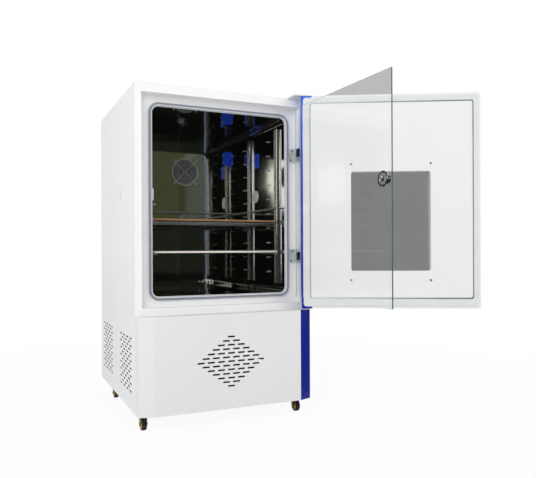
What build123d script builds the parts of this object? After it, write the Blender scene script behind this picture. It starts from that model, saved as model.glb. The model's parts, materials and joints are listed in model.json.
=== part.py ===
"""Laboratory incubator on casters, with a solid outer door and a glass inner door.

Sizes are in millimetres and +Z is up. The origin is the centre of the cabinet's underside, and the
front faces -Y. Both doors are drawn open, as the cabinet stands at rest.
"""

import os
from math import cos, radians, sin

from build123d import *

os.makedirs("parts", exist_ok=True)

# Cabinet
cabinet_width = 750.0
cabinet_depth = 800.0
cabinet_height = 1300.0
sheet = 1.2
lower_height = 384.0
front_bulge = 65.0
bevel_width = 59.0
bevel_depth = 23.0
foam_clearance = 0.3

# Recessed front seat and chamber
rim_side = 27.0
rim_top = 35.0
rim_bottom = 29.0
recess_depth = 45.0
recess_radius = 5.0
seat_sheet = 1.5
seat_side = 53.0
opening_rise = 42.0
opening_drop = 44.0
opening_radius = 26.0
rear_wall = 135.0
duct_gap = 78.0
duct_play = 0.3
seal_reach = 14.0
seal_width = 12.0
seal_height = 12.0

# Back duct panel
fan_x = 3.0
fan_drop = 185.0
fan_hole_radius = 59.0
guard_rings = (20.0, 35.0, 50.0, 65.5)
guard_wire = 3.0
guard_thickness = 2.5
guard_eye_reach = 82.0
guard_eye_radius = 6.0
duct_slot_width = 7.5
duct_slot_height = 22.0
duct_slot_pitch = 15.6
duct_slot_rise = 21.0
duct_slot_margin = 20.0
probe_side = 95.0
probe_drop = 31.0
probe_length = 60.0
plate_width = 58.0
plate_height = 72.0
plate_sheet = 1.5
plate_clip = 10.0
back_plate_side = 62.0
back_plate_drop = 107.0
wall_plate_forward = 236.0
wall_plate_drop = 146.0

# Shelf standards, studs, runners and shelves
standard_width = 28.0
standard_depth = 14.5
standard_wall = 1.5
standard_foot = 37.0
standard_drop = 36.0
standard_inset_front = 69.0
standard_inset_rear = 160.0
standard_slot_pitch = 33.0
standard_slot_length = 12.0
standard_slot_width = 4.0
stud_radius = 3.0
stud_height = 3.0
stud_pitch = 67.2
stud_foot = 86.0
stud_drop = 70.0
stud_inset_front = 170.0
stud_inset_rear = 88.0
shelf_front_inset = 45.0
shelf_back_gap = 27.0
shelf_edge = 13.0
shelf_sheet = 1.5
shelf_play = 1.0
runner_sheet = 1.5
runner_leg = 18.0
upper_shelf_rise = 305.0
lower_shelf_rise = 170.0
perforation_length = 124.0
perforation_width = 9.0
perforation_pitch_x = 134.0
perforation_pitch_y = 15.0
perforation_margin_x = 8.0
perforation_margin_y = 15.0
spare_rail_rise = 374.0
spare_rail_radius = 3.0
spare_rail_play = 0.1
rail_corner_radius = 25.0

# Test ports
port_bore_radius = 25.0
port_wall = 3.0
port_cap_radius = 30.5
port_cap_thickness = 4.0
port_plug_play = 0.2
port_plug_length = 28.0
left_port_forward = 292.0
left_port_drop = 333.0
right_port_forward = 217.0
right_port_drop = 319.0

# Outer door
door_gap = 8.0
door_top_gap = 1.0
door_pin_inset = 20.0
door_pin_forward = 43.0
door_open = 151.5
door_sheet = 1.5
door_column_width = 46.0
door_inner_radius = 8.0
door_outer_radius = 10.0
gasket_proud = 5.0
gasket_inset_hinge = 9.5
gasket_inset_free = 7.0
gasket_inset_end = 8.0
gasket_width_hinge = 31.5
gasket_width_free = 25.0
gasket_width_top = 27.0
gasket_width_bottom = 37.0
gasket_seam = 1.5
field_proud = 3.0
window_radius = 10.0
window_hinge_inset = 213.0
window_free_inset = 206.0
window_rise = 159.0
window_drop = 326.0
screw_radius = 4.0
screw_height = 2.0
screw_below_window = 39.0
screw_above_window = 32.0
window_wall = 2.0
pane_thickness = 4.0
pane_inset = 2.0
pane_spacing = 6.0
pane_play = 0.3
window_bezel = 12.0
window_bezel_thickness = 3.0

# Door hinges
hinge_pin_radius = 5.0
running_clearance = 0.05
bush_radius = 9.0
hinge_plate_top_thickness = 5.0
hinge_plate_bottom_thickness = 3.0
hinge_plate_width = 84.0
hinge_plate_bottom_width = 63.0
hinge_plate_front = 70.0
hinge_plate_back = 60.0
hinge_notch_play = 0.3
hinge_plate_bottom_front = 55.0
hinge_pin_depth = 18.0
collar_play = 0.3

# Door furniture
handle_bar_radius = 8.0
handle_post_radius = 6.5
handle_length = 240.0
handle_standoff = 35.0
handle_inset_free = 90.0
handle_mid_rise = 440.0
control_width = 300.0
control_height = 110.0
control_thickness = 12.0
control_drop = 120.0
display_width = 120.0
display_height = 50.0
display_thickness = 2.0

# Glass inner door
glass_pin_inset = 32.0
glass_pin_depth = 2.0
glass_open = 92.2
glass_thickness = 5.0
glass_free_gap = 8.0
glass_rise = 17.0
glass_pin_to_edge = 28.0
glass_seal_play = 0.5
glass_drop = 1.0
glass_corner_radius = 6.0
glass_pin_radius = 2.5
glass_knuckle_radius = 4.0
glass_ear = 12.0
glass_ear_play = 0.5
glass_hinge_height = 58.0
glass_hinge_low = 146.0
glass_hinge_drop = 164.0
glass_leaf_width = 30.0
glass_leaf_sheet = 6.0
glass_ear_margin = 2.0
clamp_sheet = 4.0
clamp_reach = 52.0
latch_inset = 54.0
latch_rise = 444.0
latch_shaft_radius = 5.0
latch_disc_radius = 28.0
latch_disc_thickness = 3.0
latch_knob_radius = 20.0
latch_knob_height = 19.0
latch_knob_rounding = 2.0
latch_play = 0.3
latch_bar_length = 20.0
latch_bar_width = 7.0
latch_bar_thickness = 4.0
latch_bar_angle = 45.0
catch_width = 9.0
catch_height = 48.0
catch_depth = 12.0
catch_setback = 15.0
catch_drop = 16.0
catch_rounding = 3.0

# Louvres and vents
louvre_length = 40.0
louvre_height = 6.5
louvre_pitch_y = 65.0
louvre_pitch_z = 15.2
louvre_rows = 15
louvre_drop = 97.0
louvre_front_inset = 188.25
louvre_rear_inset = 191.0
diamond_half_rows = 6
diamond_slot_length = 31.0
diamond_slot_height = 7.0
diamond_pitch_x = 43.0
diamond_pitch_z = 16.6
panel_sheet = 2.0

# Casters
wheel_radius = 25.0
wheel_width = 20.0
hub_radius = 19.0
caster_drop = 65.0
caster_trail = 24.0
caster_axle_radius = 4.0
caster_plate_size = 58.0
caster_plate_sheet = 3.0
race_radius = 21.0
race_height = 6.0
swivel_gap = 0.3
kingpin_radius = 4.0
fork_sheet = 2.5
fork_gap = 1.0
tread_rounding = 3.0
bolt_head_ratio = 1.6
caster_left_inset = 33.0
caster_right_inset = 45.0
caster_front_inset = 37.0
caster_rear_inset = 181.0

# Machine compartment
pan_sheet = 2.0
pan_lip = 40.0
compressor_radius = 80.0
compressor_height = 170.0
compressor_side = 225.0
compressor_rear = 250.0
evaporator_height = 260.0
coil_width = 360.0
coil_depth = 50.0
coil_fins = 30
coil_fin_sheet = 1.0
coil_tube_radius = 5.0
coil_rows = 5
condenser_inset = 70.0
condenser_base_z = 50.0
condenser_headroom = 74.0
shroud_depth = 40.0
shroud_rim = 25.0
blower_hub_radius = 22.0
blower_play = 6.0
blade_sheet = 1.5
blade_count = 6
blade_pitch = 30.0
blade_share = 0.8
circulation_radius = 54.0
circulation_hub_radius = 14.0
motor_radius = 32.0
motor_length = 34.0
shaft_radius = 3.0
pipe_radius = 4.0
box_width = 180.0
box_depth = 90.0
box_height = 140.0
inlet_width = 56.0
inlet_height = 30.0
inlet_depth = 22.0
inlet_side = 125.0
inlet_z = 90.0
inlet_rounding = 3.0
socket_width = 22.0
rocker_width = 13.0
rocker_height = 19.0
rocker_play = 0.5
rocker_root = 6.0
rocker_proud = 3.0

# Places worked out from the sizes above
half_width = cabinet_width / 2
front_y = -cabinet_depth / 2
chamber_depth = cabinet_depth - recess_depth - rear_wall
rear_y = cabinet_depth / 2
seat_y = front_y + recess_depth
liner_front_y = seat_y + seat_sheet
liner_back_y = seat_y + chamber_depth
duct_y = liner_back_y - duct_gap
bulge_y = front_y - front_bulge
recess_half_width = half_width - rim_side
recess_bottom_z = lower_height + rim_bottom
recess_top_z = cabinet_height - rim_top
recess_mid_z = (recess_bottom_z + recess_top_z) / 2
opening_bottom_z = recess_bottom_z + opening_rise
opening_top_z = recess_top_z - opening_drop
opening_height = opening_top_z - opening_bottom_z
opening_mid_z = opening_bottom_z + opening_height / 2
opening_width = 2 * (recess_half_width - seat_side)
chamber_half_width = opening_width / 2
standard_face_x = chamber_half_width - standard_depth
inner_half_width = half_width - sheet
deck_z = lower_height - sheet
left_port_y = duct_y - left_port_forward
left_port_z = opening_top_z - left_port_drop
right_port_y = duct_y - right_port_forward
right_port_z = opening_top_z - right_port_drop


def level(height):
    """The level plane at this height."""
    return Plane.XY.offset(height)


def upright(y):
    """The upright plane at this depth, seen from the front: x to the right, y up, normal forward."""
    return Plane(origin=(0, y, 0), x_dir=(1, 0, 0), z_dir=(0, -1, 0))


def sideways(x):
    """The upright plane at this x, with its own x to the rear, its y up and its normal along +X."""
    return Plane(origin=(x, 0, 0), x_dir=(0, 1, 0), z_dir=(1, 0, 0))


def hung_plane(pin_x, pin_y, opened):
    """The level plane of a door: x from its pin to its free edge, y outward, when swung open."""
    turn = radians(opened)
    return Plane(origin=(pin_x, pin_y, 0), x_dir=(-cos(turn), -sin(turn), 0), z_dir=(0, 0, 1))


def hung_face(hung, outward):
    """The upright plane of a door this far outward of its pin, seen from the chamber side."""
    return Plane(
        origin=hung.from_local_coords((0, outward, 0)), x_dir=hung.x_dir, z_dir=hung.y_dir * -1
    )


def group(label, *pieces):
    """Separate solids that share one node."""
    return Compound(label=label, children=[piece.part for piece in pieces])


# Cabinet skins


def louvre_spots(centre_y):
    """The centres of one staggered group of louvre slots, rows of four and three by turns."""
    spots = []
    for row in range(louvre_rows):
        count = 4 - row % 2
        for place in range(count):
            offset = (place - (count - 1) / 2) * louvre_pitch_y
            spots.append((centre_y + offset, lower_height - louvre_drop - row * louvre_pitch_z))
    return spots


def side_panel(side, port_y, port_z):
    """One side skin with its two groups of louvres and the hole for its test port."""
    outer_x = side * half_width
    front_group = louvre_spots(front_y + louvre_front_inset)
    rear_group = louvre_spots(rear_y - louvre_rear_inset)
    skin_mid_x = outer_x - side * sheet / 2
    with BuildPart() as panel:
        with BuildSketch(sideways(skin_mid_x)):
            with Locations((0, (cabinet_height - sheet) / 2)):
                Rectangle(cabinet_depth, cabinet_height - sheet)
            with Locations(*front_group, *rear_group):
                SlotOverall(louvre_length, louvre_height, mode=Mode.SUBTRACT)
            with Locations((port_y, port_z)):
                Circle(port_bore_radius + port_wall, mode=Mode.SUBTRACT)
        extrude(amount=sheet / 2, both=True)
    return panel


left_side_panel = side_panel(-1, left_port_y, left_port_z)
left_side_panel.part.label = "left_side_panel"
export_step(left_side_panel.part, "parts/left_side_panel.step")

right_side_panel = side_panel(1, right_port_y, right_port_z)
right_side_panel.part.label = "right_side_panel"
export_step(right_side_panel.part, "parts/right_side_panel.step")

with BuildPart() as top_panel:
    with BuildSketch(level(cabinet_height - sheet)):
        Rectangle(cabinet_width, cabinet_depth)
        with Locations((half_width, front_y)):
            Rectangle(
                2 * (hinge_plate_width + hinge_notch_play),
                2 * (hinge_plate_back + hinge_notch_play),
                mode=Mode.SUBTRACT,
            )
    extrude(amount=sheet)
top_panel.part.label = "top_panel"
export_step(top_panel.part, "parts/top_panel.step")

inlet_x = -half_width + inlet_side

with BuildPart() as rear_panel:
    with BuildSketch(upright(rear_y)):
        with Locations((0, (pan_sheet + cabinet_height - sheet) / 2)):
            Rectangle(2 * inner_half_width, cabinet_height - sheet - pan_sheet)
        with Locations((inlet_x, inlet_z)):
            Rectangle(inlet_width, inlet_height, mode=Mode.SUBTRACT)
    extrude(amount=sheet)
rear_panel.part.label = "rear_panel"
export_step(rear_panel.part, "parts/rear_panel.step")

with BuildPart() as base_pan:
    with BuildSketch(level(0)):
        Rectangle(2 * inner_half_width, cabinet_depth)
    extrude(amount=pan_sheet)
    with BuildSketch(level(pan_sheet)):
        Rectangle(2 * inner_half_width, cabinet_depth - 2 * sheet)
        Rectangle(2 * (inner_half_width - sheet), cabinet_depth - 4 * sheet, mode=Mode.SUBTRACT)
    extrude(amount=pan_lip)
base_pan.part.label = "base_pan"
export_step(base_pan.part, "parts/base_pan.step")

with BuildPart() as machine_deck:
    with BuildSketch(level(deck_z)):
        with Locations((0, -sheet / 2)):
            Rectangle(2 * inner_half_width, cabinet_depth - sheet)
    extrude(amount=sheet)
machine_deck.part.label = "machine_deck"
export_step(machine_deck.part, "parts/machine_deck.step")

with BuildPart() as front_frame:
    frame_height = cabinet_height - sheet - lower_height
    with BuildSketch(upright(liner_front_y)):
        with Locations((0, lower_height + frame_height / 2)):
            Rectangle(2 * inner_half_width, frame_height)
    extrude(amount=recess_depth + seat_sheet)
    with BuildSketch(upright(seat_y)):
        with Locations((0, recess_mid_z)):
            RectangleRounded(2 * recess_half_width, recess_top_z - recess_bottom_z, recess_radius)
    extrude(amount=recess_depth, mode=Mode.SUBTRACT)
    with BuildSketch(upright(liner_front_y)):
        with Locations((0, opening_mid_z)):
            RectangleRounded(opening_width, opening_height, opening_radius)
    extrude(amount=seat_sheet, mode=Mode.SUBTRACT)
front_frame.part.label = "front_frame"
export_step(front_frame.part, "parts/front_frame.step")

# Chamber

with BuildPart() as chamber_liner:
    with BuildSketch(upright(liner_back_y + sheet)):
        with Locations((0, opening_mid_z)):
            RectangleRounded(
                opening_width + 2 * sheet, opening_height + 2 * sheet, opening_radius + sheet
            )
    extrude(amount=liner_back_y + sheet - liner_front_y)
    with BuildSketch(upright(liner_back_y)):
        with Locations((0, opening_mid_z)):
            RectangleRounded(opening_width, opening_height, opening_radius)
    extrude(amount=liner_back_y - liner_front_y, mode=Mode.SUBTRACT)
    with BuildSketch(sideways(-half_width)):
        with Locations((left_port_y, left_port_z)):
            Circle(port_bore_radius + port_wall)
    extrude(amount=half_width, mode=Mode.SUBTRACT)
    with BuildSketch(sideways(0)):
        with Locations((right_port_y, right_port_z)):
            Circle(port_bore_radius + port_wall)
    extrude(amount=half_width, mode=Mode.SUBTRACT)
chamber_liner.part.label = "chamber_liner"
export_step(chamber_liner.part, "parts/chamber_liner.step")

with BuildPart() as insulation:
    with BuildSketch(level(lower_height)):
        with Locations((0, (liner_front_y + rear_y - sheet) / 2)):
            Rectangle(2 * inner_half_width, rear_y - sheet - liner_front_y)
    extrude(amount=cabinet_height - sheet - lower_height)
    with BuildSketch(upright(liner_back_y + sheet + foam_clearance)):
        with Locations((0, opening_mid_z)):
            RectangleRounded(
                opening_width + 2 * (sheet + foam_clearance),
                opening_height + 2 * (sheet + foam_clearance),
                opening_radius + sheet + foam_clearance,
            )
    extrude(amount=liner_back_y + sheet + foam_clearance - liner_front_y, mode=Mode.SUBTRACT)
    with BuildSketch(sideways(-half_width)):
        with Locations((left_port_y, left_port_z)):
            Circle(port_bore_radius + port_wall)
    extrude(amount=half_width, mode=Mode.SUBTRACT)
    with BuildSketch(sideways(0)):
        with Locations((right_port_y, right_port_z)):
            Circle(port_bore_radius + port_wall)
    extrude(amount=half_width, mode=Mode.SUBTRACT)
insulation.part.label = "insulation"
export_step(insulation.part, "parts/insulation.step")

with BuildPart() as chamber_seal:
    with BuildSketch(upright(seat_y)):
        with Locations((0, opening_mid_z)):
            RectangleRounded(
                opening_width + 2 * seal_reach,
                opening_height + 2 * seal_reach,
                opening_radius + seal_reach,
            )
            RectangleRounded(
                opening_width + 2 * (seal_reach - seal_width),
                opening_height + 2 * (seal_reach - seal_width),
                opening_radius + seal_reach - seal_width,
                mode=Mode.SUBTRACT,
            )
    extrude(amount=seal_height)
    fillet(chamber_seal.faces().sort_by(Axis.Y)[0].edges(), seal_width / 3)
chamber_seal.part.label = "chamber_seal"
export_step(chamber_seal.part, "parts/chamber_seal.step")

fan_z = opening_top_z - fan_drop
duct_slot_count = int((opening_width - 2 * duct_slot_margin) / duct_slot_pitch)

with BuildPart() as duct_panel:
    with BuildSketch(upright(duct_y + sheet)):
        with Locations((0, opening_mid_z)):
            RectangleRounded(
                opening_width - 2 * duct_play,
                opening_height - 2 * duct_play,
                opening_radius - duct_play,
            )
        with Locations((fan_x, fan_z)):
            Circle(fan_hole_radius, mode=Mode.SUBTRACT)
        with Locations((0, opening_bottom_z + duct_slot_rise)):
            with GridLocations(duct_slot_pitch, duct_slot_height, duct_slot_count, 1):
                SlotOverall(duct_slot_height, duct_slot_width, rotation=90, mode=Mode.SUBTRACT)
    extrude(amount=sheet)
duct_panel.part.label = "duct_panel"
export_step(duct_panel.part, "parts/duct_panel.step")

with BuildPart() as fan_guard:
    with BuildSketch(upright(duct_y)):
        with Locations((fan_x, fan_z)):
            for ring in guard_rings:
                with BuildSketch(mode=Mode.PRIVATE) as ring_band:
                    Circle(ring + guard_wire / 2)
                    Circle(ring - guard_wire / 2, mode=Mode.SUBTRACT)
                add(ring_band.sketch)
            for angle in (45, 135):
                Rectangle(2 * guard_eye_reach, guard_wire, rotation=angle)
            with PolarLocations(guard_eye_reach, 4, start_angle=45):
                Circle(guard_eye_radius)
    extrude(amount=guard_thickness)
fan_guard.part.label = "fan_guard"
export_step(fan_guard.part, "parts/fan_guard.step")

with BuildPart() as fan_motor:
    with BuildSketch(upright(liner_back_y)):
        with Locations((fan_x, fan_z)):
            Circle(motor_radius)
    extrude(amount=motor_length)
    with BuildSketch(upright(liner_back_y - motor_length)):
        with Locations((fan_x, fan_z)):
            Circle(shaft_radius)
    extrude(amount=duct_gap - motor_length - sheet - blower_play)
fan_motor.part.label = "fan_motor"
export_step(fan_motor.part, "parts/fan_motor.step")


def axial_fan(centre_x, centre_z, back_y, length, hub, tip, bore):
    """A fan that turns about the front-to-back line through its centre, with pitched flat blades."""
    with BuildPart() as fan:
        with BuildSketch(upright(back_y)):
            with Locations((centre_x, centre_z)):
                Circle(hub)
                Circle(bore, mode=Mode.SUBTRACT)
        extrude(amount=length)
        chord = length / sin(radians(blade_pitch)) * blade_share
        root = hub - blade_sheet
        for blade in range(blade_count):
            turn = radians(360 / blade_count * blade)
            outward = Vector(cos(turn), 0, sin(turn))
            across = Vector(-sin(turn), 0, cos(turn))
            pitch = radians(blade_pitch)
            chord_way = across * cos(pitch) + Vector(0, 1, 0) * sin(pitch)
            middle = Vector(centre_x, back_y - length / 2, centre_z) + outward * ((root + tip) / 2)
            with BuildSketch(Plane(origin=middle, x_dir=outward, z_dir=outward.cross(chord_way))):
                RectangleRounded(tip - root, chord, blade_sheet)
            extrude(amount=blade_sheet / 2, both=True)
        with BuildSketch(upright(back_y)):
            with Locations((centre_x, centre_z)):
                Circle(bore)
        extrude(amount=length, mode=Mode.SUBTRACT)
    return fan


impeller_back_y = liner_back_y - motor_length - blower_play
circulation_impeller = axial_fan(
    fan_x,
    fan_z,
    impeller_back_y,
    duct_gap - motor_length - sheet - 2 * blower_play,
    circulation_hub_radius,
    circulation_radius,
    shaft_radius + running_clearance,
)
circulation_impeller.part.label = "circulation_impeller"
export_step(circulation_impeller.part, "parts/circulation_impeller.step")


def finned_coil(front_face_y, base_z, width, height):
    """A block of upright fins with straight tubes through them and a bend at each end."""
    tube_pitch = height / coil_rows
    with BuildPart() as coil:
        with BuildSketch(level(base_z)):
            with Locations((0, front_face_y + coil_depth / 2)):
                with GridLocations(width / coil_fins, coil_depth, coil_fins, 1):
                    Rectangle(coil_fin_sheet, coil_depth)
        extrude(amount=height)
        with BuildSketch(sideways(-width / 2)):
            with Locations((front_face_y + coil_depth / 2, base_z + height / 2)):
                with GridLocations(coil_depth / 2, tube_pitch, 2, coil_rows):
                    Circle(coil_tube_radius)
        extrude(amount=width)
        for end in (-1, 1):
            with BuildSketch(sideways(end * width / 2)):
                with Locations((front_face_y + coil_depth / 2, base_z + height / 2)):
                    with GridLocations(coil_depth / 2, tube_pitch, 1, coil_rows):
                        SlotOverall(coil_depth / 2 + 2 * coil_tube_radius, 2 * coil_tube_radius)
            extrude(amount=end * coil_tube_radius * 2)
    return coil


evaporator_coil = finned_coil(
    liner_back_y - coil_depth, opening_bottom_z + 2 * duct_slot_rise, coil_width, evaporator_height
)

heater_z = opening_bottom_z + 2 * duct_slot_rise + evaporator_height + 4 * pipe_radius
with BuildPart() as heater_element:
    with BuildSketch(sideways(-coil_width / 2)):
        with Locations((duct_y + duct_gap / 2, heater_z)):
            Circle(pipe_radius)
    extrude(amount=coil_width)
    with BuildSketch(upright(liner_back_y)):
        with GridLocations(coil_width - 2 * pipe_radius, 1, 2, 1):
            with Locations((0, heater_z)):
                Circle(pipe_radius)
    extrude(amount=duct_gap / 2)
plenum_coils_group = group("plenum_coils", evaporator_coil, heater_element)
export_step(plenum_coils_group, "parts/plenum_coils.step")

probe_spot = (chamber_half_width - probe_side, opening_top_z - probe_drop)
with BuildPart() as temperature_probe:
    with BuildSketch(upright(duct_y)):
        with Locations(probe_spot):
            Circle(3 * shaft_radius)
    extrude(amount=standard_wall)
    with BuildSketch(upright(duct_y)):
        with Locations(probe_spot):
            Circle(shaft_radius)
    extrude(amount=probe_length)
    fillet(temperature_probe.faces().sort_by(Axis.Y)[0].edges(), shaft_radius / 2)
temperature_probe.part.label = "temperature_probe"
export_step(temperature_probe.part, "parts/temperature_probe.step")

with BuildPart() as cover_plates:
    with BuildSketch(upright(duct_y)) as back_plate:
        with Locations((chamber_half_width - back_plate_side, opening_top_z - back_plate_drop)):
            Rectangle(plate_width, plate_height)
        chamfer(back_plate.vertices(), plate_clip)
    extrude(amount=plate_sheet)
    with BuildSketch(sideways(chamber_half_width)) as wall_plate:
        with Locations((duct_y - wall_plate_forward, opening_top_z - wall_plate_drop)):
            Rectangle(plate_width, plate_height)
        chamfer(wall_plate.vertices(), plate_clip)
    extrude(amount=-plate_sheet)
cover_plates.part.label = "cover_plates"
export_step(cover_plates.part, "parts/cover_plates.step")

standard_foot_z = opening_bottom_z + standard_foot
standard_length = opening_height - standard_foot - standard_drop
standard_mid_z = standard_foot_z + standard_length / 2
standard_slot_count = int((standard_length - standard_slot_length) / standard_slot_pitch)
standard_places = [seat_y + standard_inset_front, duct_y - standard_inset_rear]
stud_count = int((opening_height - stud_foot - stud_drop) / stud_pitch) + 1
stud_mid_z = opening_bottom_z + stud_foot + stud_pitch * (stud_count - 1) / 2
with BuildPart() as standards:
    for side in (-1, 1):
        for place in standard_places:
            with BuildSketch(level(standard_foot_z)):
                with Locations((side * (chamber_half_width - standard_depth / 2), place)):
                    Rectangle(standard_depth, standard_width)
                inset_x = chamber_half_width - (standard_depth - standard_wall) / 2
                with Locations((side * inset_x, place)):
                    Rectangle(
                        standard_depth - standard_wall,
                        standard_width - 2 * standard_wall,
                        mode=Mode.SUBTRACT,
                    )
            extrude(amount=standard_length)
    with BuildSketch(sideways(-chamber_half_width)):
        for place in standard_places:
            with Locations((place, standard_mid_z)):
                with GridLocations(1, standard_slot_pitch, 1, standard_slot_count):
                    SlotOverall(standard_slot_length, standard_slot_width)
    extrude(amount=opening_width, mode=Mode.SUBTRACT)

with BuildPart() as wall_studs:
    for side in (-1, 1):
        with BuildSketch(sideways(side * chamber_half_width)):
            for place in (seat_y + stud_inset_front, duct_y - stud_inset_rear):
                with Locations((place, stud_mid_z)):
                    with GridLocations(1, stud_pitch, 1, stud_count):
                        Circle(stud_radius)
        extrude(amount=-side * stud_height)
shelf_standards_group = group("shelf_standards", standards, wall_studs)
export_step(shelf_standards_group, "parts/shelf_standards.step")

shelf_front_y = seat_y + shelf_front_inset
shelf_depth = duct_y - shelf_back_gap - shelf_front_y
shelf_mid_y = shelf_front_y + shelf_depth / 2
shelf_half_width = standard_face_x - runner_sheet - shelf_play

with BuildPart() as runners:
    for rise in (upper_shelf_rise, lower_shelf_rise):
        seat_z = opening_bottom_z + rise
        for side in (-1, 1):
            with BuildSketch(level(seat_z - runner_sheet)):
                with Locations((side * (standard_face_x - runner_leg / 2), shelf_mid_y)):
                    Rectangle(runner_leg, shelf_depth)
            extrude(amount=runner_sheet)
            with BuildSketch(level(seat_z - runner_sheet)):
                with Locations((side * (standard_face_x - runner_sheet / 2), shelf_mid_y)):
                    Rectangle(runner_sheet, shelf_depth)
            extrude(amount=runner_leg)

rail_z = opening_bottom_z + spare_rail_rise
rail_x = standard_face_x - spare_rail_radius - spare_rail_play
rail_back_y = shelf_front_y + shelf_depth
with BuildPart() as spare_rail_frame:
    with BuildLine(level(rail_z)):
        FilletPolyline(
            (-rail_x, shelf_front_y - runner_leg),
            (-rail_x, rail_back_y),
            (rail_x, rail_back_y),
            (rail_x, shelf_front_y - runner_leg),
            radius=rail_corner_radius,
        )
    rail_start = Plane(
        origin=(-rail_x, shelf_front_y - runner_leg, rail_z), x_dir=(1, 0, 0), z_dir=(0, 1, 0)
    )
    with BuildSketch(rail_start):
        Circle(spare_rail_radius)
    sweep()
shelf_runners_group = group("shelf_runners", runners, spare_rail_frame)
export_step(shelf_runners_group, "parts/shelf_runners.step")

perforation_columns = int(2 * (shelf_half_width - perforation_margin_x) / perforation_pitch_x)
perforation_rows = int((shelf_depth - 2 * perforation_margin_y) / perforation_pitch_y)


def shelf(rise):
    """A perforated sheet shelf with its edge turned down all round."""
    seat_z = opening_bottom_z + rise
    with BuildPart() as tray:
        with BuildSketch(level(seat_z + shelf_edge - shelf_sheet)):
            with Locations((0, shelf_mid_y)):
                Rectangle(2 * shelf_half_width, shelf_depth)
                with GridLocations(
                    perforation_pitch_x, perforation_pitch_y, perforation_columns, perforation_rows
                ):
                    Rectangle(perforation_length, perforation_width, mode=Mode.SUBTRACT)
        extrude(amount=shelf_sheet)
        with BuildSketch(level(seat_z)):
            with Locations((0, shelf_mid_y)):
                Rectangle(2 * shelf_half_width, shelf_depth)
                Rectangle(
                    2 * (shelf_half_width - shelf_sheet),
                    shelf_depth - 2 * shelf_sheet,
                    mode=Mode.SUBTRACT,
                )
        extrude(amount=shelf_edge - shelf_sheet)
    return tray


upper_shelf = shelf(upper_shelf_rise)
upper_shelf.part.label = "upper_shelf"
export_step(upper_shelf.part, "parts/upper_shelf.step")

lower_shelf = shelf(lower_shelf_rise)
lower_shelf.part.label = "lower_shelf"
export_step(lower_shelf.part, "parts/lower_shelf.step")

ports = [(-1, left_port_y, left_port_z), (1, right_port_y, right_port_z)]
with BuildPart() as port_sleeves:
    for side, port_y, port_z in ports:
        with BuildSketch(sideways(side * chamber_half_width)):
            with Locations((port_y, port_z)):
                Circle(port_bore_radius + port_wall)
                Circle(port_bore_radius, mode=Mode.SUBTRACT)
        extrude(amount=side * (half_width - chamber_half_width))

with BuildPart() as port_plugs:
    for side, port_y, port_z in ports:
        for face_x, way in ((side * half_width, side), (side * chamber_half_width, -side)):
            with BuildSketch(sideways(face_x)):
                with Locations((port_y, port_z)):
                    Circle(port_cap_radius)
            extrude(amount=way * port_cap_thickness)
            with BuildSketch(sideways(face_x)):
                with Locations((port_y, port_z)):
                    Circle(port_bore_radius - port_plug_play)
            extrude(amount=-way * port_plug_length)
port_fittings_group = group("port_fittings", port_sleeves, port_plugs)
export_step(port_fittings_group, "parts/port_fittings.step")

# Lower front

trim_inner_x = half_width - bevel_width


def panel_outline(inset):
    """The white lower front seen from above, set in from its outer faces by inset."""
    run = inset * bevel_depth / (bevel_width + bevel_depth)
    return [
        (-half_width + inset, front_y),
        (-half_width + inset, bulge_y + bevel_depth + run),
        (-half_width + bevel_width + run, bulge_y + inset),
        (trim_inner_x - inset, bulge_y + inset),
        (trim_inner_x - inset, front_y),
    ]


with BuildPart() as lower_front_panel:
    with BuildSketch(level(0)):
        with BuildLine():
            Polyline(*panel_outline(0), close=True)
        make_face()
    extrude(amount=lower_height)
    soft_edges = lower_front_panel.edges().filter_by(Axis.Z).group_by(Axis.X)
    fillet([soft_edges[0].sort_by(Axis.Y)[0], *soft_edges[1]], door_outer_radius)
    with BuildSketch(level(panel_sheet)):
        with BuildLine():
            Polyline(*panel_outline(panel_sheet), close=True)
        make_face()
    extrude(amount=lower_height - 2 * panel_sheet, mode=Mode.SUBTRACT)
    with BuildSketch(upright(bulge_y + panel_sheet)):
        for row in range(-diamond_half_rows, diamond_half_rows + 1):
            count = diamond_half_rows + 1 - abs(row)
            with Locations((0, lower_height / 2 + row * diamond_pitch_z)):
                with GridLocations(diamond_pitch_x, diamond_pitch_z, count, 1):
                    SlotOverall(diamond_slot_length, diamond_slot_height)
    extrude(amount=2 * panel_sheet, both=True, mode=Mode.SUBTRACT)
lower_front_panel.part.label = "lower_front_panel"
export_step(lower_front_panel.part, "parts/lower_front_panel.step")

with BuildPart() as lower_corner_column:
    with BuildSketch(level(0)):
        with BuildLine():
            Polyline(
                (trim_inner_x, front_y),
                (trim_inner_x, bulge_y),
                (half_width, bulge_y + bevel_depth),
                (half_width, front_y),
                close=True,
            )
        make_face()
    extrude(amount=lower_height)
    corner = lower_corner_column.edges().filter_by(Axis.Z).group_by(Axis.X)[-1].sort_by(Axis.Y)[0]
    fillet(corner, door_outer_radius)
lower_corner_column.part.label = "lower_corner_column"
export_step(lower_corner_column.part, "parts/lower_corner_column.step")

# Outer door, in its own plane: x from the pin to the free edge, y outward

door_pin_x = half_width - door_pin_inset
door_pin_y = front_y - door_pin_forward
door_plane = hung_plane(door_pin_x, door_pin_y, door_open)
door_inner = door_gap - door_pin_forward
door_outer = front_bulge - door_pin_forward
door_thickness = door_outer - door_inner
door_hinge_end = -door_pin_inset
door_free_end = cabinet_width - door_pin_inset
door_bottom_z = lower_height + door_gap
door_top_z = cabinet_height - sheet - door_top_gap
door_height = door_top_z - door_bottom_z
column_end = door_hinge_end + door_column_width
column_outer = door_outer - bevel_depth * (1 - door_column_width / bevel_width)


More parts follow.
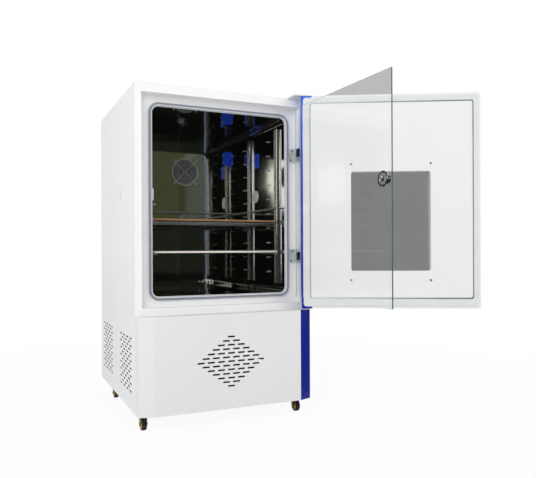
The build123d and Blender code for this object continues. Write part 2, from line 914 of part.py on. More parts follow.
def door_body_outline(inset):
    """The white body of the door seen from above; inset leaves a skin on every side but the inner."""
    run = inset * bevel_depth / (bevel_width + bevel_depth)
    return [
        (column_end + inset, door_inner),
        (column_end + inset, column_outer - run),
        (door_hinge_end + bevel_width + run, door_outer - inset),
        (door_free_end - bevel_width - run, door_outer - inset),
        (door_free_end - inset, door_outer - bevel_depth - run),
        (door_free_end - inset, door_inner),
    ]


window_width = cabinet_width - window_hinge_inset - window_free_inset
window_height = door_height - window_rise - window_drop
window_mid = door_hinge_end + window_hinge_inset + window_width / 2
window_mid_z = door_bottom_z + window_rise + window_height / 2

with BuildPart() as door_shell:
    with BuildSketch(door_plane.offset(door_bottom_z)):
        with BuildLine():
            Polyline(*door_body_outline(0), close=True)
        make_face()
    extrude(amount=door_height)
    with BuildSketch(door_plane.offset(door_bottom_z + door_sheet)):
        with BuildLine():
            Polyline(*door_body_outline(door_sheet), close=True)
        make_face()
    extrude(amount=door_height - 2 * door_sheet, mode=Mode.SUBTRACT)
    with BuildSketch(hung_face(door_plane, door_outer + 1)):
        with Locations((window_mid, window_mid_z)):
            RectangleRounded(
                window_width + 2 * window_wall,
                window_height + 2 * window_wall,
                window_radius + window_wall,
            )
    extrude(amount=door_thickness, mode=Mode.SUBTRACT)
door_shell.part.label = "door_shell"
export_step(door_shell.part, "parts/door_shell.step")

with BuildPart() as door_corner_column:
    with BuildSketch(door_plane.offset(door_bottom_z)):
        with BuildLine():
            Polyline(
                (door_hinge_end, door_inner),
                (door_hinge_end, door_outer - bevel_depth),
                (column_end, column_outer),
                (column_end, door_inner),
                close=True,
            )
        make_face()
    extrude(amount=door_height)
    hinge_edges = door_corner_column.edges().filter_by(Axis.Z)
    inner_corner = hinge_edges.sort_by_distance(
        door_plane.from_local_coords((door_hinge_end, door_inner, door_bottom_z + door_height / 2))
    )[0]
    fillet(inner_corner, door_inner_radius)
    hinge_edges = door_corner_column.edges().filter_by(Axis.Z)
    outer_corner = hinge_edges.sort_by_distance(
        door_plane.from_local_coords(
            (door_hinge_end, door_outer - bevel_depth, door_bottom_z + door_height / 2)
        )
    )[0]
    fillet(outer_corner, door_outer_radius)
    with BuildSketch(door_plane.offset(door_bottom_z)):
        Circle(bush_radius)
    extrude(amount=hinge_pin_depth, mode=Mode.SUBTRACT)
    with BuildSketch(door_plane.offset(door_top_z)):
        Circle(bush_radius)
    extrude(amount=-hinge_pin_depth, mode=Mode.SUBTRACT)
door_corner_column.part.label = "door_corner_column"
export_step(door_corner_column.part, "parts/door_corner_column.step")

with BuildPart() as door_insulation:
    with BuildSketch(door_plane.offset(door_bottom_z + door_sheet)):
        with BuildLine():
            Polyline(*door_body_outline(door_sheet), close=True)
        make_face()
    extrude(amount=door_height - 2 * door_sheet)
    with BuildSketch(hung_face(door_plane, door_inner)):
        with Locations(((column_end + door_free_end) / 2, door_bottom_z + door_height / 2)):
            Rectangle(door_free_end - column_end, door_height)
    extrude(amount=-door_sheet, mode=Mode.SUBTRACT)
    with BuildSketch(hung_face(door_plane, door_outer + 1)):
        with Locations((window_mid, window_mid_z)):
            RectangleRounded(
                window_width + 2 * window_wall,
                window_height + 2 * window_wall,
                window_radius + window_wall,
            )
    extrude(amount=door_thickness + 2, mode=Mode.SUBTRACT)
door_insulation.part.label = "door_insulation"
export_step(door_insulation.part, "parts/door_insulation.step")

field_left = door_hinge_end + gasket_inset_hinge + gasket_width_hinge
field_right = door_free_end - gasket_inset_free - gasket_width_free
field_bottom_z = door_bottom_z + gasket_inset_end + gasket_width_bottom
field_top_z = door_top_z - gasket_inset_end - gasket_width_top
field_mid = ((field_left + field_right) / 2, (field_bottom_z + field_top_z) / 2)

with BuildPart() as door_inner_panel:
    with BuildSketch(hung_face(door_plane, door_inner + door_sheet)):
        with Locations(((column_end + door_free_end) / 2, door_bottom_z + door_height / 2)):
            Rectangle(
                door_free_end - column_end - 2 * door_sheet, door_height - 2 * door_sheet
            )
    extrude(amount=door_sheet)
    with BuildSketch(hung_face(door_plane, door_inner)):
        with Locations(field_mid):
            RectangleRounded(
                field_right - field_left - 2 * gasket_seam,
                field_top_z - field_bottom_z - 2 * gasket_seam,
                window_radius,
            )
    extrude(amount=field_proud)
    with BuildSketch(hung_face(door_plane, door_outer)):
        with Locations((window_mid, window_mid_z)):
            RectangleRounded(
                window_width + 2 * window_wall,
                window_height + 2 * window_wall,
                window_radius + window_wall,
            )
    extrude(amount=door_thickness + 2 * field_proud, mode=Mode.SUBTRACT)
door_inner_panel.part.label = "door_inner_panel"
export_step(door_inner_panel.part, "parts/door_inner_panel.step")

gasket_left = door_hinge_end + gasket_inset_hinge
gasket_right = door_free_end - gasket_inset_free
gasket_bottom_z = door_bottom_z + gasket_inset_end
gasket_top_z = door_top_z - gasket_inset_end
with BuildPart() as door_gasket:
    with BuildSketch(hung_face(door_plane, door_inner)):
        with Locations(((gasket_left + gasket_right) / 2, (gasket_bottom_z + gasket_top_z) / 2)):
            Rectangle(gasket_right - gasket_left, gasket_top_z - gasket_bottom_z)
        with Locations(field_mid):
            RectangleRounded(
                field_right - field_left,
                field_top_z - field_bottom_z,
                window_radius,
                mode=Mode.SUBTRACT,
            )
    extrude(amount=gasket_proud)
door_gasket.part.label = "door_gasket"
export_step(door_gasket.part, "parts/door_gasket.step")

with BuildPart() as window_frame:
    with BuildSketch(hung_face(door_plane, door_outer)):
        with Locations((window_mid, window_mid_z)):
            RectangleRounded(
                window_width + 2 * window_wall,
                window_height + 2 * window_wall,
                window_radius + window_wall,
            )
    extrude(amount=door_thickness + field_proud)
    with BuildSketch(hung_face(door_plane, door_outer)):
        with Locations((window_mid, window_mid_z)):
            RectangleRounded(
                window_width + 2 * window_bezel,
                window_height + 2 * window_bezel,
                window_radius + window_bezel,
            )
    extrude(amount=-window_bezel_thickness)
    with BuildSketch(hung_face(door_plane, door_outer + window_bezel_thickness)):
        with Locations((window_mid, window_mid_z)):
            RectangleRounded(window_width, window_height, window_radius)
    extrude(amount=door_thickness + field_proud + window_bezel_thickness, mode=Mode.SUBTRACT)
window_frame.part.label = "window_frame"
export_step(window_frame.part, "parts/window_frame.step")

outer_pane = door_outer - pane_inset
inner_pane = outer_pane - pane_thickness - pane_spacing
with BuildPart() as window_panes:
    for face in (outer_pane, inner_pane):
        with BuildSketch(hung_face(door_plane, face)):
            with Locations((window_mid, window_mid_z)):
                RectangleRounded(
                    window_width - 2 * pane_play,
                    window_height - 2 * pane_play,
                    window_radius - pane_play,
                )
        extrude(amount=pane_thickness)
window_panes.part.label = "window_panes"
export_step(window_panes.part, "parts/window_panes.step")

screw_low_z = window_mid_z - window_height / 2 - screw_below_window
screw_high_z = window_mid_z + window_height / 2 + screw_above_window
with BuildPart() as door_screws:
    with BuildSketch(hung_face(door_plane, door_inner - field_proud)):
        with Locations((window_mid, (screw_low_z + screw_high_z) / 2)):
            with GridLocations(window_width, screw_high_z - screw_low_z, 2, 2):
                Circle(screw_radius)
    extrude(amount=screw_height)
door_screws.part.label = "door_screws"
export_step(door_screws.part, "parts/door_screws.step")

handle_x = door_free_end - handle_inset_free
handle_mid_z = door_bottom_z + handle_mid_rise
with BuildPart() as door_handle:
    with BuildSketch(hung_face(door_plane, door_outer)):
        with Locations((handle_x, handle_mid_z)):
            with GridLocations(1, handle_length - 4 * handle_bar_radius, 1, 2):
                Circle(handle_post_radius)
    extrude(amount=-handle_standoff)
    handle_foot = door_plane.offset(handle_mid_z - handle_length / 2)
    with BuildSketch(handle_foot):
        with Locations((handle_x, door_outer + handle_standoff)):
            Circle(handle_bar_radius)
    extrude(amount=handle_length)
door_handle.part.label = "door_handle"
export_step(door_handle.part, "parts/door_handle.step")

control_x = (door_hinge_end + door_free_end) / 2
control_z = door_top_z - control_drop
control_window = (control_x - control_width / 4, control_z)
with BuildPart() as control_housing:
    with BuildSketch(hung_face(door_plane, door_outer)):
        with Locations((control_x, control_z)):
            RectangleRounded(control_width, control_height, window_radius)
    extrude(amount=-control_thickness)
    with BuildSketch(hung_face(door_plane, door_outer + control_thickness)):
        with Locations(control_window):
            RectangleRounded(display_width, display_height, recess_radius)
        with Locations((control_x + control_width / 4, control_z)):
            RectangleRounded(display_width, display_height, recess_radius)
    extrude(amount=display_thickness, mode=Mode.SUBTRACT)
control_housing.part.label = "control_housing"
export_step(control_housing.part, "parts/control_housing.step")


def control_inlay(centre):
    """A flush inlay of the control housing."""
    with BuildPart() as inlay:
        with BuildSketch(hung_face(door_plane, door_outer + control_thickness)):
            with Locations(centre):
                RectangleRounded(
                    display_width - 2 * pane_play,
                    display_height - 2 * pane_play,
                    recess_radius - pane_play,
                )
        extrude(amount=display_thickness)
    return inlay


display_panel = control_inlay(control_window)

key_panel = control_inlay((control_x + control_width / 4, control_z))
control_inlays_group = group("control_inlays", display_panel, key_panel)
export_step(control_inlays_group, "parts/control_inlays.step")

# Outer door hinges

with BuildPart() as hinge_plate_top:
    plate_length = hinge_plate_front + hinge_plate_back
    plate_mid = (half_width - hinge_plate_width / 2, front_y - hinge_plate_front + plate_length / 2)
    with BuildSketch(level(cabinet_height - sheet)):
        with Locations(plate_mid):
            RectangleRounded(hinge_plate_width, plate_length, recess_radius)
    extrude(amount=hinge_plate_top_thickness)
    with BuildSketch(level(cabinet_height - sheet)):
        with Locations((door_pin_x, door_pin_y)):
            Circle(hinge_pin_radius)
    extrude(amount=-hinge_pin_depth)

with BuildPart() as hinge_plate_bottom:
    with BuildSketch(level(lower_height)):
        with Locations(
            (half_width - hinge_plate_bottom_width / 2, front_y - hinge_plate_bottom_front / 2)
        ):
            Rectangle(hinge_plate_bottom_width, hinge_plate_bottom_front)
    extrude(amount=hinge_plate_bottom_thickness)
    with BuildSketch(level(lower_height)):
        with Locations((door_pin_x, door_pin_y)):
            Circle(bush_radius)
    extrude(amount=door_gap - collar_play)
    with BuildSketch(level(lower_height)):
        with Locations((door_pin_x, door_pin_y)):
            Circle(hinge_pin_radius)
    extrude(amount=door_gap + hinge_pin_depth - door_top_gap)
door_hinge_plates_group = group("door_hinge_plates", hinge_plate_top, hinge_plate_bottom)
export_step(door_hinge_plates_group, "parts/door_hinge_plates.step")

with BuildPart() as door_bushes:
    for low_z in (door_bottom_z, door_top_z - hinge_pin_depth):
        with BuildSketch(door_plane.offset(low_z)):
            Circle(bush_radius - running_clearance)
            Circle(hinge_pin_radius + running_clearance, mode=Mode.SUBTRACT)
        extrude(amount=hinge_pin_depth)
door_bushes.part.label = "door_bushes"
export_step(door_bushes.part, "parts/door_bushes.step")

# Glass inner door, in its own plane: x from the pin to the free edge, y outward

glass_pin_x = half_width - glass_pin_inset
glass_pin_y = front_y + glass_pin_depth
glass_plane = hung_plane(glass_pin_x, glass_pin_y, glass_open)
glass_inner = glass_pin_y - (seat_y - seal_height - glass_seal_play)
glass_outer = glass_inner + glass_thickness
glass_bottom_z = opening_bottom_z - seal_reach - glass_drop
glass_height = opening_top_z + seal_reach + glass_rise - glass_bottom_z
glass_width = glass_pin_x + recess_half_width - glass_pin_to_edge - glass_free_gap
glass_mid_z = glass_bottom_z + glass_height / 2
latch_x = glass_pin_to_edge + glass_width - latch_inset
latch_z = glass_bottom_z + latch_rise
glass_hinge_bottoms = [
    glass_bottom_z + glass_hinge_low,
    glass_bottom_z + glass_height - glass_hinge_drop - glass_hinge_height,
]

with BuildPart() as glass_door_pane:
    with BuildSketch(hung_face(glass_plane, glass_outer)):
        with Locations((glass_pin_to_edge + glass_width / 2, glass_mid_z)):
            RectangleRounded(glass_width, glass_height, glass_corner_radius)
        with Locations((latch_x, latch_z)):
            Circle(latch_shaft_radius + running_clearance, mode=Mode.SUBTRACT)
    extrude(amount=glass_thickness)
glass_door_pane.part.label = "glass_door_pane"
export_step(glass_door_pane.part, "parts/glass_door_pane.step")

ear_width = recess_half_width - glass_pin_x + glass_knuckle_radius + glass_ear_margin
ear_length = seat_y - glass_pin_y
with BuildPart() as glass_hinge_leaves:
    for low_z in glass_hinge_bottoms:
        with BuildSketch(level(low_z)):
            with Locations((recess_half_width - glass_leaf_width / 2, seat_y - glass_leaf_sheet / 2)):
                Rectangle(glass_leaf_width, glass_leaf_sheet)
        extrude(amount=glass_hinge_height)
        for ear_z in (low_z, low_z + glass_hinge_height - glass_ear):
            with BuildSketch(level(ear_z)):
                with Locations(
                    (recess_half_width - ear_width / 2, glass_pin_y + ear_length / 2)
                ):
                    Rectangle(ear_width, ear_length)
                with Locations((glass_pin_x, glass_pin_y)):
                    Circle(glass_knuckle_radius)
            extrude(amount=glass_ear)
        with BuildSketch(level(low_z)):
            with Locations((glass_pin_x, glass_pin_y)):
                Circle(glass_pin_radius)
        extrude(amount=glass_hinge_height)
glass_hinge_leaves.part.label = "glass_hinge_leaves"
export_step(glass_hinge_leaves.part, "parts/glass_hinge_leaves.step")

clamp_height = glass_hinge_height - 2 * (glass_ear + glass_ear_play)
with BuildPart() as glass_clamps:
    for low_z in glass_hinge_bottoms:
        with BuildSketch(glass_plane.offset(low_z + glass_ear + glass_ear_play)):
            Circle(glass_knuckle_radius)
            with Locations((0, glass_outer / 2)):
                Rectangle(2 * glass_knuckle_radius, -glass_outer)
            clamp_mid = (clamp_reach - glass_knuckle_radius) / 2
            with Locations((clamp_mid, glass_outer + clamp_sheet / 2)):
                Rectangle(clamp_reach + glass_knuckle_radius, clamp_sheet)
            Circle(glass_pin_radius + running_clearance, mode=Mode.SUBTRACT)
        extrude(amount=clamp_height)
glass_clamps.part.label = "glass_clamps"
export_step(glass_clamps.part, "parts/glass_clamps.step")

with BuildPart() as latch_disc:
    with BuildSketch(hung_face(glass_plane, glass_outer + latch_play + latch_disc_thickness)):
        with Locations((latch_x, latch_z)):
            Circle(latch_disc_radius)
            Circle(latch_shaft_radius, mode=Mode.SUBTRACT)
    extrude(amount=latch_disc_thickness)

knob_face = glass_outer + latch_play + latch_disc_thickness
with BuildPart() as latch_knob:
    with BuildSketch(hung_face(glass_plane, knob_face)):
        with Locations((latch_x, latch_z)):
            Circle(latch_knob_radius)
    extrude(amount=-latch_knob_height)
    fillet(latch_knob.edges().filter_by(GeomType.CIRCLE), latch_knob_rounding)
    with BuildSketch(hung_face(glass_plane, knob_face)):
        with Locations((latch_x, latch_z)):
            Circle(latch_shaft_radius)
    extrude(amount=-latch_knob_height / 2, mode=Mode.SUBTRACT)
latch_knob.part.label = "latch_knob"
export_step(latch_knob.part, "parts/latch_knob.step")

bar_face = glass_inner - latch_play
with BuildPart() as shaft_and_bar:
    with BuildSketch(hung_face(glass_plane, knob_face + latch_knob_height / 2)):
        with Locations((latch_x, latch_z)):
            Circle(latch_shaft_radius)
    extrude(amount=knob_face + latch_knob_height / 2 - bar_face)
    with BuildSketch(hung_face(glass_plane, bar_face)):
        with Locations((latch_x, latch_z)):
            SlotOverall(latch_bar_length, latch_bar_width, rotation=latch_bar_angle)
            Circle(latch_shaft_radius)
    extrude(amount=latch_bar_thickness)
latch_shaft_group = group("latch_shaft", latch_disc, shaft_and_bar)
export_step(latch_shaft_group, "parts/latch_shaft.step")

with BuildPart() as latch_catch:
    with BuildSketch(upright(seat_y + catch_setback + catch_depth)):
        with Locations((-chamber_half_width + catch_width / 2, latch_z - catch_drop)):
            Rectangle(catch_width, catch_height)
    extrude(amount=catch_depth)
    fillet(latch_catch.edges().filter_by(Axis.Y).group_by(Axis.X)[-1], catch_rounding)
latch_catch.part.label = "latch_catch"
export_step(latch_catch.part, "parts/latch_catch.step")

# Casters

caster_left_x = -half_width + caster_left_inset
caster_right_x = half_width - caster_right_inset
caster_front_y = front_y + caster_front_inset
caster_rear_y = rear_y - caster_rear_inset
caster_places = {
    "front_left": (caster_left_x, caster_front_y),
    "front_right": (caster_right_x, caster_front_y),
    "rear_left": (caster_left_x, caster_rear_y),
    "rear_right": (caster_right_x, caster_rear_y),
}
race_bottom_z = -caster_plate_sheet - race_height
crown_top_z = race_bottom_z - swivel_gap
axle_z = wheel_radius - caster_drop

with BuildPart() as caster_plates:
    for place in caster_places.values():
        with BuildSketch(level(-caster_plate_sheet)):
            with Locations(place):
                RectangleRounded(caster_plate_size, caster_plate_size, recess_radius)
        extrude(amount=caster_plate_sheet)
        with BuildSketch(level(race_bottom_z)):
            with Locations(place):
                Circle(race_radius)
        extrude(amount=race_height)
        with BuildSketch(level(race_bottom_z)):
            with Locations(place):
                Circle(kingpin_radius + running_clearance)
        extrude(amount=race_height, mode=Mode.SUBTRACT)
caster_plates.part.label = "caster_plates"
export_step(caster_plates.part, "parts/caster_plates.step")

for corner_name, place in caster_places.items():
    wheel_y = place[1] - caster_trail
    leg_inside = wheel_width / 2 + fork_gap
    with BuildPart() as caster_fork:
        with BuildSketch(level(crown_top_z - fork_sheet)):
            with Locations(place):
                Circle(race_radius)
            with Locations((place[0], place[1] - race_radius / 2)):
                Rectangle(2 * (leg_inside + fork_sheet), race_radius)
        extrude(amount=fork_sheet)
        with BuildSketch(level(crown_top_z)):
            with Locations(place):
                Circle(kingpin_radius)
        extrude(amount=race_height)
        for side in (-1, 1):
            with BuildSketch(sideways(place[0] + side * leg_inside)):
                with BuildLine():
                    Polyline(
                        (place[1] + race_radius / 3, crown_top_z),
                        (wheel_y - race_radius / 2, crown_top_z),
                        (wheel_y - 2 * caster_axle_radius, axle_z),
                        (wheel_y, axle_z - 2 * caster_axle_radius),
                        (wheel_y + 2 * caster_axle_radius, axle_z),
                        close=True,
                    )
                make_face()
                with Locations((wheel_y, axle_z)):
                    Circle(2 * caster_axle_radius)
                    Circle(caster_axle_radius, mode=Mode.SUBTRACT)
            extrude(amount=side * fork_sheet)

    axle_reach = leg_inside + fork_sheet
    with BuildPart() as caster_axle:
        with BuildSketch(sideways(place[0])):
            with Locations((wheel_y, axle_z)):
                Circle(caster_axle_radius)
        extrude(amount=axle_reach, both=True)
        for side in (-1, 1):
            with BuildSketch(sideways(place[0] + side * axle_reach)):
                with Locations((wheel_y, axle_z)):
                    RegularPolygon(bolt_head_ratio * caster_axle_radius, 6)
            extrude(amount=side * fork_sheet)
    fork_group = group(f"caster_fork_{corner_name}", caster_fork, caster_axle)
    export_step(fork_group, f"parts/caster_fork_{corner_name}.step")

    with BuildPart() as caster_hub:
        with BuildSketch(sideways(place[0])):
            with Locations((wheel_y, axle_z)):
                Circle(hub_radius)
                Circle(caster_axle_radius + running_clearance, mode=Mode.SUBTRACT)
        extrude(amount=wheel_width / 2, both=True)

    with BuildPart() as caster_tread:
        with BuildSketch(sideways(place[0])):
            with Locations((wheel_y, axle_z)):
                Circle(wheel_radius)
        extrude(amount=wheel_width / 2, both=True)
        fillet(caster_tread.edges().filter_by(GeomType.CIRCLE), tread_rounding)
        with BuildSketch(sideways(place[0])):
            with Locations((wheel_y, axle_z)):
                Circle(hub_radius)
        extrude(amount=wheel_width / 2, both=True, mode=Mode.SUBTRACT)
    wheel_group = group(f"caster_wheel_{corner_name}", caster_hub, caster_tread)
    export_step(wheel_group, f"parts/caster_wheel_{corner_name}.step")

# Machine compartment

compressor_x = half_width - compressor_side
compressor_y = rear_y - compressor_rear
with BuildPart() as compressor:
    with BuildSketch(level(pan_sheet)):
        with Locations((compressor_x, compressor_y)):
            Rectangle(2 * compressor_radius, compressor_radius)
    extrude(amount=fork_sheet)
    with BuildSketch(level(pan_sheet)):
        with Locations((compressor_x, compressor_y)):
            Circle(compressor_radius)
    extrude(amount=compressor_height)
    fillet(compressor.faces().sort_by(Axis.Z)[-1].edges(), compressor_radius / 2)
compressor.part.label = "compressor"
export_step(compressor.part, "parts/compressor.step")

condenser_y = front_y + condenser_inset
condenser_height = lower_height - condenser_base_z - condenser_headroom
condenser_coil = finned_coil(condenser_y, condenser_base_z, coil_width, condenser_height)
condenser_coil.part.label = "condenser_coil"
export_step(condenser_coil.part, "parts/condenser_coil.step")

blower_radius = condenser_height / 2 - shroud_rim
condenser_z = condenser_base_z + condenser_height / 2
shroud_y = condenser_y + coil_depth
with BuildPart() as shroud:
    with BuildSketch(upright(shroud_y + shroud_depth)):
        with Locations((0, (pan_sheet + condenser_base_z + condenser_height) / 2)):
            Rectangle(coil_width, condenser_base_z + condenser_height - pan_sheet)
    extrude(amount=shroud_depth)
    with BuildSketch(upright(shroud_y + shroud_depth)):
        with Locations((0, condenser_z)):
            Circle(blower_radius + blower_play)
    extrude(amount=shroud_depth, mode=Mode.SUBTRACT)
    with BuildSketch(upright(shroud_y + shroud_depth)):
        with Locations((0, condenser_z)):
            Rectangle(2 * (blower_radius + 2 * blower_play), motor_radius)
            Circle(shaft_radius + running_clearance, mode=Mode.SUBTRACT)
    extrude(amount=-panel_sheet)

blower_back_y = shroud_y + shroud_depth - blower_play
blower_length = shroud_depth - 2 * blower_play
with BuildPart() as condenser_motor:
    with BuildSketch(upright(shroud_y + shroud_depth + panel_sheet)):
        with Locations((0, condenser_z)):
            Circle(motor_radius)
    extrude(amount=-motor_length)
    with BuildSketch(upright(shroud_y + shroud_depth + panel_sheet)):
        with Locations((0, condenser_z)):
            Circle(shaft_radius)
    extrude(amount=panel_sheet + shroud_depth - blower_play)
condenser_shroud_group = group("condenser_shroud", shroud, condenser_motor)
export_step(condenser_shroud_group, "parts/condenser_shroud.step")

condenser_fan = axial_fan(
    0,
    condenser_z,
    blower_back_y,
    blower_length,
    blower_hub_radius,
    blower_radius,
    shaft_radius + running_clearance,
)
condenser_fan.part.label = "condenser_fan"
export_step(condenser_fan.part, "parts/condenser_fan.step")

with BuildPart() as electrical_box:
    with BuildSketch(level(pan_sheet)):
        with Locations((inlet_x + box_width / 4, rear_y - 2 * sheet - inlet_depth - box_depth)):
            Rectangle(box_width, box_depth)
    extrude(amount=box_height)
    fillet(electrical_box.edges().filter_by(Axis.Z), recess_radius)
electrical_box.part.label = "electrical_box"
export_step(electrical_box.part, "parts/electrical_box.step")

rocker_x = inlet_x + inlet_width / 2 - rocker_width
rocker_room = (rocker_width + 2 * rocker_play, rocker_height + 2 * rocker_play)
with BuildPart() as power_inlet:
    with BuildSketch(upright(rear_y)):
        with Locations((inlet_x, inlet_z)):
            Rectangle(inlet_width, inlet_height)
    extrude(amount=inlet_depth)
    with BuildSketch(upright(rear_y)):
        with Locations((inlet_x, inlet_z)):
            RectangleRounded(
                inlet_width + 2 * recess_radius, inlet_height + 2 * recess_radius, inlet_rounding
            )
    extrude(amount=-panel_sheet)
    with BuildSketch(upright(rear_y + panel_sheet)):
        with Locations((inlet_x - rocker_width, inlet_z)):
            RectangleRounded(socket_width, rocker_height, inlet_rounding)
        with Locations((rocker_x, inlet_z)):
            Rectangle(*rocker_room)
    extrude(amount=inlet_depth - panel_sheet, mode=Mode.SUBTRACT)
power_inlet.part.label = "power_inlet"
export_step(power_inlet.part, "parts/power_inlet.step")

rocker_tip = rocker_height / 2 - 2 * rocker_play
rocker_face_y = rear_y + panel_sheet
with BuildPart() as power_rocker:
    with BuildSketch(sideways(rocker_x - rocker_width / 2)):
        with BuildLine():
            Polyline(
                (rear_y - rocker_root, inlet_z - rocker_root),
                (rocker_face_y + rocker_proud, inlet_z - rocker_tip),
                (rocker_face_y + rocker_proud / 3, inlet_z),
                (rocker_face_y, inlet_z + rocker_tip),
                (rear_y - rocker_root, inlet_z + rocker_root),
                close=True,
            )
        make_face()
    extrude(amount=rocker_width)
power_rocker.part.label = "power_rocker"
export_step(power_rocker.part, "parts/power_rocker.step")

with BuildPart() as refrigerant_lines:
    line_top_z = lower_height - 6 * pipe_radius
    with BuildLine(Plane.YZ.offset(compressor_x)):
        FilletPolyline(
            (compressor_y, pan_sheet + compressor_height),
            (compressor_y, line_top_z),
            (condenser_y + coil_depth / 2, line_top_z),
            (condenser_y + coil_depth / 2, condenser_base_z + condenser_height),
            radius=6 * pipe_radius,
        )
    with BuildSketch(
        Plane(
            origin=(compressor_x, compressor_y, pan_sheet + compressor_height),
            x_dir=(1, 0, 0),
            z_dir=(0, 0, 1),
        )
    ):
        Circle(pipe_radius)
    sweep()
refrigerant_lines.part.label = "refrigerant_lines"
export_step(refrigerant_lines.part, "parts/refrigerant_lines.step")
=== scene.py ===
import json
import math

import bmesh
import bpy
from mathutils import Matrix, Vector


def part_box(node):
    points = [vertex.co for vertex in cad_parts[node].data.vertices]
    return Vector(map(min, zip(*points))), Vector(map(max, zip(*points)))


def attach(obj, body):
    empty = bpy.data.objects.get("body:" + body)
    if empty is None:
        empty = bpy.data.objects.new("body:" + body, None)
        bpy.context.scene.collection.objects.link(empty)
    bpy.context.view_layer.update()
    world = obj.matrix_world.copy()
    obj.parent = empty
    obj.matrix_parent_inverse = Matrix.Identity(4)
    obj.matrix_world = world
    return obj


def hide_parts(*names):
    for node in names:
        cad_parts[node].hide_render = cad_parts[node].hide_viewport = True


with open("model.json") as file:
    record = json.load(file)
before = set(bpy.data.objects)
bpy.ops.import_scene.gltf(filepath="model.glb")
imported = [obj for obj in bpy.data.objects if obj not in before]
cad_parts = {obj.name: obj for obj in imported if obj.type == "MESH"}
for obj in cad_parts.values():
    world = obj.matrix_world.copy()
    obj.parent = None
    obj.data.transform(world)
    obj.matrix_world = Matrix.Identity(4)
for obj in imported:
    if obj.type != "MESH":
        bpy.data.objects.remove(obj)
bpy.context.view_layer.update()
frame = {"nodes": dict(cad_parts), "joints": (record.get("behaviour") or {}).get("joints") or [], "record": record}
nodes = frame["nodes"]
scene = bpy.context.scene

# Places in the cabinet's frame, in metres and degrees
joints = {joint["name"]: joint for joint in frame["joints"]}
outer_door_pin = joints["door_hinge"]["pos_m"][:2]
outer_door_angle = -joints["door_hinge"]["range_deg"][0]
glass_door_pin = joints["glass_door_hinge"]["pos_m"][:2]
glass_door_angle = 92.2
chamber_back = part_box("duct_panel")[0].y
chamber_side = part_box("shelf_standards")[1].x
recess_face = -0.3552
floor_level = -0.0652
caster_corners = ("front_left", "front_right", "rear_left", "rear_right")
STILL = (0.0, 0.0, 0.0)


# Finishes
def srgb(red, green, blue):
    """A colour written as 0 to 255, as the linear colour that a shader reads."""

    def channel(value):
        value /= 255
        return value / 12.92 if value <= 0.04045 else ((value + 0.055) / 1.055) ** 2.4

    return (channel(red), channel(green), channel(blue), 1.0)


def shade(colour, factor):
    """The colour made lighter or darker, and opaque."""
    return tuple(min(1.0, c * factor) for c in colour[:3]) + (1.0,)


def node(tree, kind, **inputs):
    """A shader node with its inputs set by their names."""
    made = tree.nodes.new(kind)
    for name, value in inputs.items():
        made.inputs[name.replace("_", " ")].default_value = value
    return made


def calculate(tree, operation, *inputs):
    """A Math node whose inputs are links or numbers, in their order."""
    made = tree.nodes.new("ShaderNodeMath")
    made.operation = operation
    for socket, value in zip(made.inputs, inputs):
        if isinstance(value, bpy.types.NodeSocket):
            tree.links.new(value, socket)
        else:
            socket.default_value = value
    return made.outputs["Value"]


def mix_shaders(tree, share, first, second):
    """The second shader where share is 1, the first where it is 0."""
    made = tree.nodes.new("ShaderNodeMixShader")
    tree.links.new(share, made.inputs["Fac"])
    tree.links.new(first, made.inputs[1])
    tree.links.new(second, made.inputs[2])
    return made.outputs["Shader"]


# The stretch that a noise texture's values mostly keep to
noise_low, noise_high = 0.3, 0.7


def finish(
    name,
    colour,
    spread=0.05,
    patch=6.0,
    grain=420.0,
    rough=(0.35, 0.5),
    bump=0.04,
    depth=0.0004,
    stretch=(1, 1, 1),
    wave=0.0,
    **sockets,
):
    """A procedural finish on Object coordinates.

    Broad patches spread the tone and a fine grain spreads the roughness and lifts the
    relief. stretch scales both, wave bends a mirror gently, and sockets are set by name."""
    material = bpy.data.materials.new(name)
    material.use_nodes = True
    tree = material.node_tree
    link = tree.links.new
    shader = tree.nodes["Principled BSDF"]
    for socket, value in sockets.items():
        shader.inputs[socket.replace("_", " ")].default_value = value
    coords = tree.nodes.new("ShaderNodeTexCoord")
    mapping = node(tree, "ShaderNodeMapping", Scale=stretch)
    link(coords.outputs["Object"], mapping.inputs["Vector"])
    broad = node(tree, "ShaderNodeTexNoise", Scale=patch, Detail=4.0, Roughness=0.6)
    fine = node(tree, "ShaderNodeTexNoise", Scale=grain, Detail=3.0, Roughness=0.5)
    for texture in (broad, fine):
        link(mapping.outputs["Vector"], texture.inputs["Vector"])
    ramp = tree.nodes.new("ShaderNodeValToRGB")
    stops = ((noise_low, 1 - spread), (noise_high, 1 + spread))
    for element, (position, factor) in zip(ramp.color_ramp.elements, stops):
        element.position = position
        element.color = shade(colour, factor)
    link(broad.outputs["Fac"], ramp.inputs["Fac"])
    link(ramp.outputs["Color"], shader.inputs["Base Color"])
    gloss = node(
        tree, "ShaderNodeMapRange", From_Min=noise_low, From_Max=noise_high, To_Min=rough[0],
        To_Max=rough[1],
    )
    link(fine.outputs["Fac"], gloss.inputs["Value"])
    link(gloss.outputs["Result"], shader.inputs["Roughness"])
    relief = node(tree, "ShaderNodeBump", Strength=bump, Distance=depth)
    link(fine.outputs["Fac"], relief.inputs["Height"])
    if wave:
        swell = node(tree, "ShaderNodeTexNoise", Scale=3.5, Detail=1.0)
        link(coords.outputs["Object"], swell.inputs["Vector"])
        bend = node(tree, "ShaderNodeBump", Strength=1.0, Distance=wave)
        link(swell.outputs["Fac"], bend.inputs["Height"])
        link(bend.outputs["Normal"], relief.inputs["Normal"])
    link(relief.outputs["Normal"], shader.inputs["Normal"])
    return material


